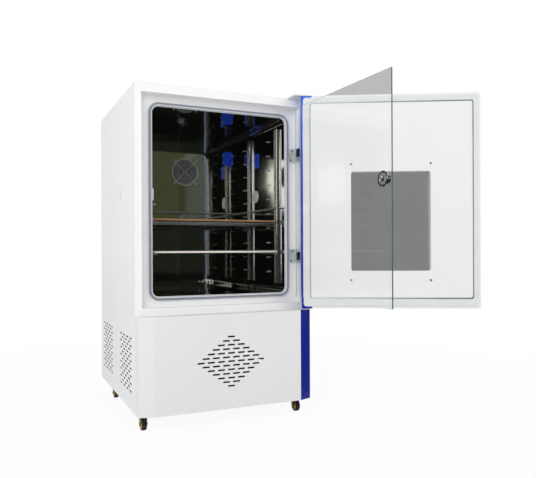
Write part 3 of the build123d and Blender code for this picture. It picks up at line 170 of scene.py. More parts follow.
def grade(material, axis, start, end, tone):
    """The finish turns into another tone along an axis of the piece, from start to end."""
    tree = material.node_tree
    link = tree.links.new
    base = tree.nodes["Principled BSDF"].inputs["Base Color"]
    coords = tree.nodes.new("ShaderNodeTexCoord")
    split = tree.nodes.new("ShaderNodeSeparateXYZ")
    link(coords.outputs["Object"], split.inputs["Vector"])
    along = node(tree, "ShaderNodeMapRange", From_Min=start, From_Max=end)
    link(split.outputs[axis], along.inputs["Value"])
    mix = tree.nodes.new("ShaderNodeMix")
    mix.data_type = "RGBA"
    share = mix.inputs[0]
    first_colour, second_colour = mix.inputs[6:8]
    link(along.outputs["Result"], share)
    link(base.links[0].from_socket, first_colour)
    second_colour.default_value = tone
    link(mix.outputs[2], base)


def glass(name, tint, bend):
    """Clear sheet glass, which passes shadow rays and diffuse light straight through."""
    material = finish(
        name, tint, 0.01, patch=3.0, grain=300.0, rough=(0.0, 0.012), bump=0.01, depth=0.0001
    )
    tree = material.node_tree
    shader = tree.nodes["Principled BSDF"]
    shader.inputs["Transmission Weight"].default_value = 1.0
    shader.inputs["IOR"].default_value = bend
    rays = tree.nodes.new("ShaderNodeLightPath")
    soft = calculate(
        tree, "MAXIMUM", rays.outputs["Is Shadow Ray"], rays.outputs["Is Diffuse Ray"]
    )
    clear = node(tree, "ShaderNodeBsdfTransparent", Color=shade(tint, 0.97))
    seen = mix_shaders(tree, soft, shader.outputs["BSDF"], clear.outputs["BSDF"])
    tree.links.new(seen, tree.nodes["Material Output"].inputs["Surface"])
    return material


# Paints
white = finish(
    "powder_white", srgb(238, 239, 240), 0.012, patch=3.0, grain=900.0, rough=(0.34, 0.46),
    bump=0.06, depth=0.0003, Coat_Weight=0.15, Coat_Roughness=0.3,
)
panel_white = finish(
    "panel_white", srgb(232, 231, 232), 0.015, patch=2.5, grain=900.0, rough=(0.32, 0.44),
    bump=0.05, depth=0.0003,
)
door_white = finish(
    "door_white", srgb(240, 240, 240), 0.01, patch=2.5, grain=900.0, rough=(0.42, 0.5),
    bump=0.05, depth=0.0003,
)
# Whiter than the cabinet's own white: painted light that lifts the shaded recess round the chamber.
recess_white = finish(
    "recess_white", srgb(246, 246, 246), 0.01, patch=3.0, grain=800.0, rough=(0.4, 0.5)
)
trim_blue = finish(
    "trim_blue", srgb(11, 28, 138), 0.12, patch=4.0, grain=700.0, rough=(0.22, 0.32), bump=0.03,
    Coat_Weight=0.2, Coat_Roughness=0.15,
)
door_blue_painted_highlight = finish(
    "door_trim_blue", srgb(10, 34, 168), 0.08, patch=4.0, grain=700.0, rough=(0.22, 0.32),
    bump=0.03, Coat_Weight=0.2, Coat_Roughness=0.15,
)
# Lighter, brighter blue towards the column's top from 0.75 m up: a painted highlight.
grade(door_blue_painted_highlight, "Z", 0.75, 1.29, srgb(34, 104, 232))
plate_blue = finish("plate_blue", srgb(30, 84, 250), 0.08, patch=25.0, grain=700.0)
navy = finish("navy_paint", srgb(24, 30, 66), 0.1, patch=25.0, grain=700.0, rough=(0.3, 0.45))
black_paint = finish(
    "black_paint", srgb(30, 30, 31), 0.2, patch=20.0, grain=500.0, rough=(0.4, 0.6)
)

# Metals
galvanised = finish(
    "galvanised_sheet", srgb(178, 180, 180), 0.16, patch=40.0, grain=500.0, rough=(0.3, 0.5),
    bump=0.05, Metallic=1.0,
)
yellow_zinc = finish(
    "yellow_zinc", srgb(168, 150, 96), 0.15, patch=45.0, grain=500.0, rough=(0.25, 0.42),
    Metallic=1.0,
)
zinc = finish(
    "zinc_plate", srgb(216, 224, 221), 0.08, patch=45.0, grain=500.0, rough=(0.28, 0.42),
    Metallic=0.3,
)
mirror = finish(
    "mirror_steel", srgb(222, 222, 218), 0.02, patch=2.0, grain=700.0, rough=(0.03, 0.06),
    bump=0.01, depth=0.0001, wave=0.0016, Metallic=1.0,
)
mirror_back = finish(
    "mirror_steel_back", srgb(220, 222, 212), 0.02, patch=2.0, grain=700.0, rough=(0.03, 0.07),
    bump=0.01, depth=0.0001, wave=0.0010, Metallic=1.0,
)
strip_steel = finish(
    "strip_steel", srgb(226, 226, 222), 0.06, patch=30.0, grain=700.0, rough=(0.10, 0.18),
    depth=0.0002, stretch=(1, 1, 0.1), Metallic=0.96,
)
wire_steel = finish(
    "wire_steel", srgb(205, 205, 200), 0.08, patch=40.0, grain=900.0, rough=(0.2, 0.32),
    bump=0.03, depth=0.0002, Metallic=0.6,
)
guard_wire = finish(
    "guard_wire", srgb(240, 242, 242), 0.06, patch=60.0, grain=900.0, rough=(0.25, 0.4),
    bump=0.03, Metallic=0.25,
)
bright_steel = finish(
    "bright_steel", srgb(205, 205, 203), patch=60.0, grain=900.0, rough=(0.08, 0.2), bump=0.03,
    Metallic=1.0,
)
dark_chrome = finish(
    "dark_chrome", srgb(120, 124, 128), 0.08, patch=60.0, grain=900.0, rough=(0.06, 0.16),
    bump=0.03, Metallic=1.0,
)
rose_grey = finish(
    "rose_grey", srgb(158, 158, 170), 0.2, patch=70.0, grain=700.0, rough=(0.2, 0.35),
    Metallic=0.3,
)
coppery_wire = finish(
    "coppery_wire", srgb(166, 126, 90), 0.14, patch=30.0, grain=900.0, rough=(0.25, 0.4),
    bump=0.03, Metallic=0.35,
)
cream_wire = finish(
    "cream_wire", srgb(222, 217, 206), 0.08, patch=20.0, grain=900.0, rough=(0.25, 0.4)
)
aluminium_fin = finish(
    "aluminium_fin", srgb(190, 193, 196), 0.08, patch=30.0, grain=600.0, rough=(0.3, 0.5),
    bump=0.1, stretch=(1, 1, 12), Metallic=1.0,
)
brass = finish(
    "brass_bush", srgb(205, 170, 98), 0.1, patch=60.0, grain=800.0, rough=(0.25, 0.4),
    Metallic=1.0,
)
copper = finish(
    "copper_pipe", srgb(196, 118, 84), 0.15, patch=40.0, grain=600.0, rough=(0.25, 0.45),
    Metallic=1.0,
)

# Plastics, rubber and fibre
white_plastic = finish(
    "white_plastic", srgb(232, 233, 231), 0.02, patch=12.0, grain=700.0, rough=(0.3, 0.45)
)
# Dark plastic, and also the painted shade in the shelf standards' slots.
dark_plastic = finish(
    "dark_plastic", srgb(34, 36, 40), 0.15, patch=25.0, grain=700.0, rough=(0.35, 0.55)
)
hub_yellow = finish("hub_yellow", srgb(196, 156, 62), 0.12, patch=60.0, grain=700.0)
rubber = finish(
    "black_rubber", srgb(26, 26, 27), 0.2, patch=50.0, grain=900.0, rough=(0.5, 0.7), bump=0.15
)
seal_dark = finish(
    "seal_grey", srgb(138, 142, 153), 0.04, patch=30.0, grain=600.0, rough=(0.4, 0.55)
)
seal_light = finish("seal_pale_grey", srgb(212, 216, 219), 0.03, patch=30.0, grain=600.0)
gasket_white = finish(
    "gasket_white", srgb(226, 230, 230), 0.03, patch=20.0, grain=700.0, bump=0.08
)
# The seam's grey is a painted shadow line between gasket and panel, dark where X passes 0.86 and fading pale by
# 0.42.
seam_grey = finish("seam_grey", srgb(112, 112, 112), patch=30.0, grain=700.0, rough=(0.6, 0.75))
grade(seam_grey, "X", 0.86, 0.42, srgb(206, 208, 208))
fibre_blanket = finish(
    "fibre_blanket", srgb(222, 205, 140), 0.25, patch=60.0, grain=300.0, rough=(0.85, 1.0),
    bump=0.6, depth=0.002,
)
display_green = finish(
    "display_green", srgb(120, 235, 150), 0.04, patch=90.0, grain=900.0, rough=(0.3, 0.4)
)
key_grey = finish(
    "key_grey", srgb(150, 156, 164), 0.06, patch=90.0, grain=900.0, rough=(0.4, 0.55)
)
key_blue = finish(
    "key_blue", srgb(60, 96, 180), 0.06, patch=90.0, grain=900.0, rough=(0.4, 0.55)
)

# Glasses
pane_glass = glass("pane_glass", srgb(254, 254, 254), 1.2)
window_glass = glass("window_glass", srgb(216, 217, 217), 1.3)
edge_glass = finish(
    "glass_edge", srgb(44, 84, 74), 0.35, patch=9.0, grain=300.0, rough=(0.08, 0.2), bump=0.05,
    Coat_Weight=0.6,
)
# A paler copy of the green glass edge, for the hinge side: painted light.
pale_edge = finish(
    "pale_edge", srgb(172, 188, 184), 0.1, patch=9.0, grain=300.0, rough=(0.1, 0.25), bump=0.05
)

slot_finish = {
    "cabinet_white": white,
    "galvanised": galvanised,
    "mirror_steel": mirror,
    "fibre_blanket": fibre_blanket,
    "seal_grey": seal_dark,
    "seal_white": gasket_white,
    "bright_wire": bright_steel,
    "aluminium_fin": aluminium_fin,
    "trim_blue": trim_blue,
    "white_plastic": white_plastic,
    "black_plastic": dark_plastic,
    "window_glass": window_glass,
    "door_glass": pane_glass,
    "brass_bush": brass,
    "caster_black": rubber,
    "black_paint": black_paint,
    "copper": copper,
}
node_finish = {
    "front_frame": recess_white,
    "lower_front_panel": panel_white,
    "duct_panel": mirror_back,
    "cover_plates": plate_blue,
    "glass_clamps": navy,
    "glass_hinge_leaves": zinc,
    "caster_plates": yellow_zinc,
    "window_panes": window_glass,
    "control_inlays": dark_plastic,
    "door_inner_panel": door_white,
    "window_frame": door_white,
    "shelf_runners": wire_steel,
    "door_hinge_plates": panel_white,
    "door_corner_column": door_blue_painted_highlight,
    **{"caster_fork_" + corner: yellow_zinc for corner in caster_corners},
}


def paint_cad_nodes():
    """Every CAD node gets its own finish, or else its material slot's."""
    slot_of = {part["node"]: part["material_slot"] for part in frame["record"]["subparts"]}
    for name, cad in nodes.items():
        material = node_finish.get(name, slot_finish.get(slot_of.get(name), galvanised))
        if not cad.material_slots:
            cad.data.materials.append(material)
        for slot in cad.material_slots:
            slot.material = material


# Mesh tools
class Shape:
    """A piece built of several closed solids in one mesh, each with its own material."""

    def __init__(self):
        self.mesh = bmesh.new()
        self.materials = []

    def index(self, material):
        """The place of a finish among the shape's own, which takes it in if it is new."""
        if material not in self.materials:
            self.materials.append(material)
        return self.materials.index(material)

    def prism(self, outline, base, top, material, place=None, bevel=0.0, segments=2):
        """An outline of (x, y) points extruded from base to top along z, then placed."""
        part = bmesh.new()
        low = [part.verts.new((x, y, base)) for x, y in outline]
        high = [part.verts.new((x, y, top)) for x, y in outline]
        part.faces.new(low[::-1])
        part.faces.new(high)
        for i in range(len(outline)):
            j = (i + 1) % len(outline)
            part.faces.new((low[i], low[j], high[j], high[i]))
        return self.join(part, material, place, bevel, segments)

    def slab(self, low, high, material, place=None, bevel=0.0, segments=2):
        """A box between two corners."""
        outline = [(low[0], low[1]), (high[0], low[1]), (high[0], high[1]), (low[0], high[1])]
        return self.prism(outline, low[2], high[2], material, place, bevel, segments)

    def lathe(self, profile, material, place, steps):
        """A (radius, height) profile turned about z in so many steps, then placed.

        A profile that starts on the axis is closed there, and any other is a ring."""
        part = bmesh.new()
        rings = []
        for radius, height in profile:
            points = circle(radius, steps) if radius else [(0, 0)]
            rings.append([part.verts.new((x, y, height)) for x, y in points])
        ring_shaped = profile[0][0] > 0
        pairs = list(zip(rings, rings[1:])) + ([(rings[-1], rings[0])] if ring_shaped else [])
        for one, two in pairs:
            for i in range(steps):
                j = (i + 1) % steps
                corners = (
                    one[i % len(one)], one[j % len(one)], two[j % len(two)], two[i % len(two)]
                )
                corners = list(dict.fromkeys(corners))
                if len(corners) > 2:
                    part.faces.new(corners)
        return self.join(part, material, place)

    def rod(self, points, radius, material, closed=False):
        """A round rod along points, with mitred corners."""
        steps = 8
        points = [Vector(p) for p in points]
        part = bmesh.new()
        count = len(points)
        rings = []
        normal = None
        for i, point in enumerate(points):
            arms = []
            if i or closed:
                arms.append((point - points[i - 1]).normalized())
            if i + 1 < count or closed:
                arms.append((points[(i + 1) % count] - point).normalized())
            along = sum(arms, Vector()).normalized()
            if normal is None:
                side = Vector((0, 0, 1)) if abs(along.z) < 0.9 else Vector((1, 0, 0))
                normal = along.cross(side)
            normal = (normal - along * normal.dot(along)).normalized()
            across = along.cross(normal)
            widen = 1 / max(0.5, arms[0].dot(along))
            ring = circle(radius * widen, steps)
            rings.append([part.verts.new(point + normal * x + across * y) for x, y in ring])
        pairs = list(zip(rings, rings[1:])) + ([(rings[-1], rings[0])] if closed else [])
        for one, two in pairs:
            for k in range(steps):
                m = (k + 1) % steps
                part.faces.new((one[k], one[m], two[m], two[k]))
        if not closed:
            part.faces.new(rings[0][::-1])
            part.faces.new(rings[-1])
        return self.join(part, material)

    def band(self, outer, inner, sections, materials, place):
        """A closed profile swept round a window with round corners.

        outer and inner are (left, right, low, high, radius). Each section is its share of the
        way from outer to inner and its height, and materials has one finish for each."""
        corner_steps = 8
        part = bmesh.new()
        loops = []
        for share, height in sections:
            left, right, low, high, radius = (a + (b - a) * share for a, b in zip(outer, inner))
            corners = (
                (right - radius, high - radius, 0),
                (left + radius, high - radius, 90),
                (left + radius, low + radius, 180),
                (right - radius, low + radius, 270),
            )
            loop = []
            for x, y, start in corners:
                for k in range(corner_steps + 1):
                    a = math.radians(start + 90 * k / corner_steps)
                    loop.append((x + radius * math.cos(a), y + radius * math.sin(a), height))
            loops.append([part.verts.new(p) for p in loop])
        count = len(loops[0])
        for k, (one, two) in enumerate(zip(loops, loops[1:] + loops[:1])):
            for i in range(count):
                j = (i + 1) % count
                face = part.faces.new((one[i], one[j], two[j], two[i]))
                face.material_index = k
        return self.join(part, materials, place)

    def repeat(self, tree, material, place=None, **sizes):
        """What a Geometry Nodes tree makes at these sizes, joined as plain mesh."""
        holder = bpy.data.objects.new("holder", bpy.data.meshes.new("holder"))
        scene.collection.objects.link(holder)
        step = holder.modifiers.new("tree", "NODES")
        step.node_group = tree
        sizes["Finish"] = material
        for socket in tree.interface.items_tree:
            if socket.in_out == "INPUT":
                step[socket.identifier] = sizes[socket.name.replace(" ", "_")]
        graph = bpy.context.evaluated_depsgraph_get()
        made = bpy.data.meshes.new_from_object(holder.evaluated_get(graph))
        holder.modifiers.remove(step)
        for spent in (holder, sizes.get("Piece")):
            if spent:
                bpy.data.objects.remove(spent)
        part = bmesh.new()
        part.from_mesh(made)
        bpy.data.meshes.remove(made)
        return self.join(part, material, place)

    def join(self, part, material, place=None, bevel=0.0, segments=2):
        """Bevel a solid's sharp edges, turn its faces outwards, place it and take it in."""
        if bevel:
            sharp = [e for e in part.edges if e.is_manifold and e.calc_face_angle() > 0.5]
            bmesh.ops.bevel(
                part, geom=sharp, offset=bevel, segments=segments, profile=0.6, affect="EDGES",
                clamp_overlap=True,
            )
        bmesh.ops.recalc_face_normals(part, faces=part.faces)
        if place is not None:
            part.transform(place)
            if place.determinant() < 0:
                bmesh.ops.reverse_faces(part, faces=part.faces)
        materials = material if isinstance(material, list) else [material]
        where = [self.index(m) for m in materials]
        for face in part.faces:
            face.material_index = where[face.material_index % len(where)]
        held = bpy.data.meshes.new("part")
        part.to_mesh(held)
        part.free()
        self.mesh.from_mesh(held)
        bpy.data.meshes.remove(held)
        return self

    def release(self, name):
        """The shape as an object of its own."""
        data = bpy.data.meshes.new(name)
        self.mesh.to_mesh(data)
        self.mesh.free()
        for material in self.materials:
            data.materials.append(material)
        made = bpy.data.objects.new(name, data)
        scene.collection.objects.link(made)
        return made

    def place(self, name, body, slot, *replaced, smooth=35):
        """The finished piece, shaded, riding on a body and standing for CAD nodes."""
        piece = self.release(name)
        piece.data.shade_smooth()
        piece.data.set_sharp_from_angle(angle=math.radians(smooth))
        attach(piece, body)
        if replaced:
            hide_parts(*replaced)


def circle(radius, steps, centre=(0, 0)):
    """Points round a centre, evenly spaced."""
    turn = [2 * math.pi * i / steps for i in range(steps)]
    return [(centre[0] + radius * math.cos(a), centre[1] + radius * math.sin(a)) for a in turn]


def upright(y):
    """A plane across the cabinet at y: drawing (x, z, outwards) on it faces the front."""
    return Matrix(((1, 0, 0, 0), (0, 0, -1, y), (0, 1, 0, 0), (0, 0, 0, 1)))


def sideways(x, side):
    """A plane along the cabinet at x: drawing (y, z, outwards) on it faces +X or -X."""
    return Matrix(((0, 0, side, x), (1, 0, 0, 0), (0, 1, 0, 0), (0, 0, 0, 1)))


def hung(pin, opened):
    """A door's own frame: along it from its pin, up, and outwards from its face."""
    turn = math.radians(opened)
    along = (-math.cos(turn), -math.sin(turn), 0)
    up = (0, 0, 1)
    outwards = (math.sin(turn), -math.cos(turn), 0)
    rows = [list(row) for row in zip(along, up, outwards, (pin[0], pin[1], 0))]
    return Matrix(rows + [[0, 0, 0, 1]])


def shifted(x, y, z=0.0):
    """A plain move, with no turn."""
    return Matrix.Translation((x, y, z))


outer_door = hung(outer_door_pin, outer_door_angle)
glass_door = hung(glass_door_pin, glass_door_angle)


# Geometry Nodes trees for what repeats
def sized_tree(name, **inputs):
    """A tree with named inputs for its sizes, and what feeds from them."""
    tree = bpy.data.node_groups.new(name, "GeometryNodeTree")
    tree.interface.new_socket("Geometry", in_out="OUTPUT", socket_type="NodeSocketGeometry")
    for label, kind in {**inputs, "Finish": "Material"}.items():
        tree.interface.new_socket(
            label.replace("_", " "), in_out="INPUT", socket_type="NodeSocket" + kind
        )
    return tree, tree.nodes.new("NodeGroupInput").outputs


def grow(tree, kind, *plain, **inputs):
    """A node of a tree with its inputs linked or set: the plain ones by their order."""
    made = tree.nodes.new(kind)
    sockets = list(zip(made.inputs, plain))
    sockets += [(made.inputs[name.replace("_", " ")], value) for name, value in inputs.items()]
    for socket, value in sockets:
        if isinstance(value, bpy.types.NodeSocket):
            tree.links.new(value, socket)
        else:
            socket.default_value = value
    return made


def end_tree(tree, size, geometry):
    """Every tree ends as one mesh with one finish."""
    whole = grow(tree, "GeometryNodeRealizeInstances", geometry)
    painted = grow(
        tree, "GeometryNodeSetMaterial", Geometry=whole.outputs[0], Material=size["Finish"]
    )
    grow(tree, "NodeGroupOutput", painted.outputs[0])
    return tree


def wire_row_tree():
    """Straight round wires side by side, all turned the same way."""
    tree, size = sized_tree(
        "wire_row", Count="Int", First="Vector", Pitch="Vector", Turn="Vector", Radius="Float",
        Length="Float", Sides="Int",
    )
    spots = grow(
        tree, "GeometryNodeMeshLine", Count=size["Count"], Start_Location=size["First"],
        Offset=size["Pitch"],
    )
    wire = grow(
        tree, "GeometryNodeMeshCylinder", Vertices=size["Sides"], Radius=size["Radius"],
        Depth=size["Length"],
    )
    wires = grow(
        tree, "GeometryNodeInstanceOnPoints", Points=spots.outputs[0], Instance=wire.outputs[0],
        Rotation=size["Turn"],
    )
    return end_tree(tree, size, wires.outputs[0])


def ring_row_tree():
    """Wire rings round one centre, each wider than the last by the pitch."""
    tree, size = sized_tree(
        "ring_row", Count="Int", Centre="Vector", First_Radius="Float", Pitch="Float",
        Wire_Radius="Float",
    )
    spots = grow(
        tree, "GeometryNodeMeshLine", Count=size["Count"], Start_Location=size["Centre"],
        Offset=STILL,
    )
    number = grow(tree, "GeometryNodeInputIndex")
    radius = grow(
        tree, "ShaderNodeMath", number.outputs[0], size["Pitch"], size["First Radius"]
    )
    radius.operation = "MULTIPLY_ADD"
    ring = grow(tree, "GeometryNodeCurvePrimitiveCircle", Resolution=48, Radius=1.0)
    rings = grow(
        tree, "GeometryNodeInstanceOnPoints", Points=spots.outputs[0], Instance=ring.outputs[0],
        Scale=radius.outputs[0],
    )
    path = grow(tree, "GeometryNodeRealizeInstances", rings.outputs[0])
    even = grow(tree, "GeometryNodeSetCurveRadius", Curve=path.outputs[0], Radius=1.0)
    section = grow(
        tree, "GeometryNodeCurvePrimitiveCircle", Resolution=6, Radius=size["Wire Radius"]
    )
    wires = grow(
        tree, "GeometryNodeCurveToMesh", Curve=even.outputs[0], Profile_Curve=section.outputs[0]
    )
    return end_tree(tree, size, wires.outputs[0])


def piece_row_tree():
    """One small piece again and again, moved by the pitch and turned by the turn each time."""
    tree, size = sized_tree(
        "piece_row", Piece="Object", Count="Int", Pitch="Vector", Turn="Vector"
    )
    spots = grow(
        tree, "GeometryNodeMeshLine", Count=size["Count"], Start_Location=STILL,
        Offset=size["Pitch"],
    )
    number = grow(tree, "GeometryNodeInputIndex")
    turn = grow(tree, "ShaderNodeVectorMath", size["Turn"], number.outputs[0])
    turn.operation = "MULTIPLY"
    held = grow(tree, "GeometryNodeObjectInfo", size["Piece"])
    pieces = grow(
        tree, "GeometryNodeInstanceOnPoints", Points=spots.outputs[0],
        Instance=held.outputs["Geometry"], Rotation=turn.outputs[0],
    )
    return end_tree(tree, size, pieces.outputs[0])


wire_row = wire_row_tree()
ring_row = ring_row_tree()
piece_row = piece_row_tree()


def row_of(target, piece, material, place, count, pitch=STILL, turn=STILL):
    """Repeat a small shape in a target shape, along a pitch or round an axis."""
    target.repeat(
        piece_row, material, place, Piece=piece.release("pattern"), Count=count, Pitch=pitch,
        Turn=turn,
    )


# Seals
def dress_chamber_seal():
    """A grey lip round the chamber's opening with a pale bead inside it."""
    outer = (-0.3102, 0.3102, 0.4398, 1.2362, 0.041)
    inner = (-0.2960, 0.2960, 0.4540, 1.2220, 0.027)
    lip = [(0, 0.0002), (0, 0.0075), (0.08, 0.0100), (0.25, 0.0108), (0.42, 0.0095), (0.48, 0.0102)]
    bead = [(0.62, 0.0117), (0.82, 0.0110), (0.96, 0.0080), (1, 0.0002)]
    finishes = [seal_dark] * len(lip) + [seal_light] * len(bead)
    seal = Shape()
    seal.band(outer, inner, lip + bead, finishes, upright(recess_face))
    seal.place("chamber_seal_strip", "cabinet", "seal_grey", "chamber_seal")


def dress_door_gasket():
    """The white ribbed gasket of the outer door, with a seam where it meets the panel, its grey a painted shadow
    line.
    """
    outer = (-0.0105, 0.723, 0.400, 1.2898, 0.012)
    inner = (0.021, 0.698, 0.437, 1.264, 0.010)
    ribs = [
        (0, -0.0352), (0, -0.0375), (0.1, -0.0395), (0.35, -0.0385), (0.5, -0.0398),
        (0.65, -0.0385), (0.84, -0.0396),
    ]
    # The sections next to the panel carry the painted shadow grey.
    seam = [(0.88, -0.0372), (1, -0.0366), (1, -0.0352)]
    finishes = [gasket_white] * len(ribs) + [seam_grey] * len(seam)
    gasket = Shape()
    gasket.band(outer, inner, ribs + seam, finishes, outer_door)
    gasket.place("door_gasket_strip", "outer_door", "seal_white", "door_gasket")


# Glass door, drawn in its own frame
def dress_glass_pane():
    """The pane with green edges; the hinge-side edge is a paler copy, painted light."""
    hinge_edge, free_edge = 0.028, 0.683
    inner_face, outer_face = -0.0305, -0.0255
    low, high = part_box("glass_door_pane")
    pane = Shape()
    pane.slab(
        (hinge_edge, low.z, inner_face), (free_edge, high.z, outer_face), pane_glass, glass_door,
        0.0007,
    )
    green, pale = pane.index(edge_glass), pane.index(pale_edge)
    along, _, outward = (Vector(column[:3]) for column in glass_door.col[:3])
    for face in pane.mesh.faces:
        face.normal_update()
        if abs(face.normal.dot(outward)) < 0.9:
            face.material_index = pale if face.normal.dot(along) < -0.9 else green
    pane.place("glass_pane", "glass_door", "door_glass", "glass_door_pane", smooth=20)


hinge_height, ear_height = 0.058, 0.012
hinges_low, hinges_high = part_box("glass_hinge_leaves")
hinge_feet = (hinges_low.z, hinges_high.z - hinge_height)


def dress_hinge_leaves():
    """On the cabinet: two leaves, each with a pair of ears, a pin and two screws."""
    leaf_left, leaf_right, leaf_face = 0.318, 0.348, -0.361
    ear = [
        (0.3480, -0.3600), (0.3480, -0.3985), (0.3468, -0.4008), (0.3445, -0.4020),
        (0.3415, -0.4020), (0.3392, -0.4008), (0.3380, -0.3985), (0.3375, -0.3600),
    ]
    pin = [(0, 0), (0.0018, 0), (0.0020, 0.0004), (0.0020, 0.0576), (0.0018, 0.058), (0, 0.058)]
    screw = [
        (0, 0), (0.0036, 0), (0.0038, 0.0008), (0.0030, 0.0018), (0.0012, 0.0020), (0, 0.0012)
    ]
    leaves = Shape()
    for foot in hinge_feet:
        leaves.slab(
            (leaf_left, leaf_face, foot), (leaf_right, recess_face, foot + hinge_height), zinc,
            None, 0.0012,
        )
        for low in (foot, foot + hinge_height - ear_height):
            leaves.prism(ear, low, low + ear_height, zinc, None, 0.0008)
        leaves.lathe(pin, bright_steel, shifted(*glass_door_pin, foot), 20)
        for x, z in ((0.3305, foot + 0.049), (0.3235, foot + 0.008)):
            leaves.lathe(screw, dark_plastic, upright(leaf_face) @ shifted(x, z), 20)
    leaves.place("hinge_leaves", "cabinet", "galvanised", "glass_hinge_leaves")


def dress_hinge_clamps():
    """On the glass: two barrels with their arms and dark clamp plates."""
    play = 0.0006
    screw = [(0, -0.0205), (0.0032, -0.0205), (0.0034, -0.0198), (0.0026, -0.0188), (0, -0.0186)]
    clamps = Shape()
    for foot in hinge_feet:
        low, high = foot + ear_height + play, foot + hinge_height - ear_height - play
        barrel = [
            (0.0022, low), (0.0038, low), (0.0040, low + 0.0003), (0.0040, high - 0.0003),
            (0.0038, high), (0.0022, high),
        ]
        clamps.lathe(barrel, zinc, shifted(*glass_door_pin), 28)
        # The barrel's web, the arm along the glass and the dark plate that grips it
        clamps.slab((-0.0035, low, -0.0254), (0.0035, high, -0.0030), zinc, glass_door, 0.0006)
        clamps.slab((-0.0040, low, -0.0253), (0.0275, high, -0.0216), zinc, glass_door, 0.0008)
        clamps.slab((0.0282, low, -0.0253), (0.0520, high, -0.0205), navy, glass_door, 0.0010)
        for z in (foot + 0.021, foot + 0.037):
            clamps.lathe(screw, dark_chrome, glass_door @ shifted(0.0400, z), 18)
    clamps.place("hinge_clamps", "glass_door", "black_plastic", "glass_clamps")


knob_from_pin = 0.629
knob_height = joints["latch_turn"]["pos_m"][2]
knob_spot = glass_door @ shifted(knob_from_pin, knob_height)


def dress_knob():
    """The hand knob outside the glass, ribbed round its rim."""
    profile = [
        (0, -0.0222), (0.0150, -0.0222), (0.0168, -0.0205), (0.0185, -0.0185), (0.0198, -0.0140),
        (0.0200, -0.0085), (0.0192, -0.0050), (0.0165, -0.0036), (0.0060, -0.0036),
        (0.0050, -0.0050), (0, -0.0050),
    ]
    ribs = 18
    knob = Shape()
    knob.lathe(profile, dark_chrome, knob_spot, 56)
    rib = Shape()
    rib.slab((0.0188, -0.0009, -0.0175), (0.0200, 0.0009, -0.0065), bright_steel, None, 0.0003)
    row_of(knob, rib, bright_steel, knob_spot, ribs, turn=(0.0, 0.0, 2 * math.pi / ribs))
    knob.place("latch_hand_knob", "latch", "bright_wire", "latch_knob")


def dress_latch_rose():
    """The disc between glass and knob, the shaft through both, and the bar that it turns."""
    disc = [(0.0052, -0.0254), (0.0205, -0.0254), (0.0205, -0.0228), (0.0052, -0.0226)]
    rim = [
        (0.0206, -0.0254), (0.0272, -0.0254), (0.0280, -0.0246), (0.0276, -0.0234),
        (0.0255, -0.0227), (0.0206, -0.0229),
    ]
    shaft = [(0, -0.0352), (0.0040, -0.0352), (0.0049, -0.0345), (0.0049, -0.0120), (0, -0.0120)]
    washer = [
        (0.0049, -0.0314), (0.0096, -0.0314), (0.0101, -0.0310), (0.0101, -0.0307),
        (0.0049, -0.0307),
    ]
    bar_reach, bar_radius, bar_angle = 0.0065, 0.0035, 40
    bar_outline = [
        (bar_reach * side + bar_radius * math.cos(a), bar_radius * math.sin(a))
        for side, start in ((1, -90), (-1, 90))
        for a in (math.radians(start + 15 * k) for k in range(13))
    ]
    bar_place = knob_spot @ Matrix.Rotation(math.radians(bar_angle), 4, "Z")
    rose = Shape()
    rose.lathe(disc, rose_grey, knob_spot, 56)
    rose.lathe(rim, dark_chrome, knob_spot, 56)
    rose.lathe(shaft, bright_steel, knob_spot, 28)
    rose.lathe(washer, dark_plastic, knob_spot, 32)
    rose.prism(bar_outline, -0.0348, -0.0309, zinc, bar_place, 0.0008)
    rose.place("latch_rose", "latch", "bright_wire", "latch_shaft")


# Chamber fittings
def dress_fan_guard():
    """Wire rings on four arms, each arm ending in an eye with a screw through it."""
    fan_x, _, fan_z = joints["circulation_fan_spin"]["pos_m"]
    hub_spot = upright(chamber_back) @ shifted(fan_x, fan_z)
    first_ring, ring_pitch, rim_radius = 0.0085, 0.0064, 0.0670
    eye_reach = 0.0805
    guard = Shape()
    for count, first, wire in ((10, first_ring, 0.0010), (1, rim_radius, 0.0014)):
        guard.repeat(
            ring_row, guard_wire, hub_spot, Count=count, Centre=(0.0, 0.0, 0.0013),
            First_Radius=first, Pitch=ring_pitch, Wire_Radius=wire,
        )
    arm = Shape()
    arm.rod([(r, 0, 0.0022) for r in (0.004, 0.040, 0.0765)], 0.0012, guard_wire)
    eye = Shape()
    ring = circle(0.0040, 20, (eye_reach, 0))
    eye.rod([(x, y, 0.0020) for x, y in ring], 0.0011, guard_wire, closed=True)
    screw = Shape()
    head = [
        (0, 0.0001), (0.0026, 0.0001), (0.0032, 0.0008), (0.0029, 0.0020), (0.0015, 0.0025),
        (0, 0.0026),
    ]
    screw.lathe(head, dark_chrome, shifted(eye_reach, 0), 16)
    diagonal = hub_spot @ Matrix.Rotation(math.radians(45), 4, "Z")
    quarter_turn = (0.0, 0.0, math.pi / 2)
    for part, material in ((arm, guard_wire), (eye, guard_wire), (screw, dark_chrome)):
        row_of(guard, part, material, diagonal, 4, turn=quarter_turn)
    hub = [(0, 0.0004), (0.0070, 0.0004), (0.0068, 0.0022), (0, 0.0025)]
    guard.lathe(hub, bright_steel, hub_spot, 24)
    guard.place("fan_guard_wires", "cabinet", "bright_wire", "fan_guard")


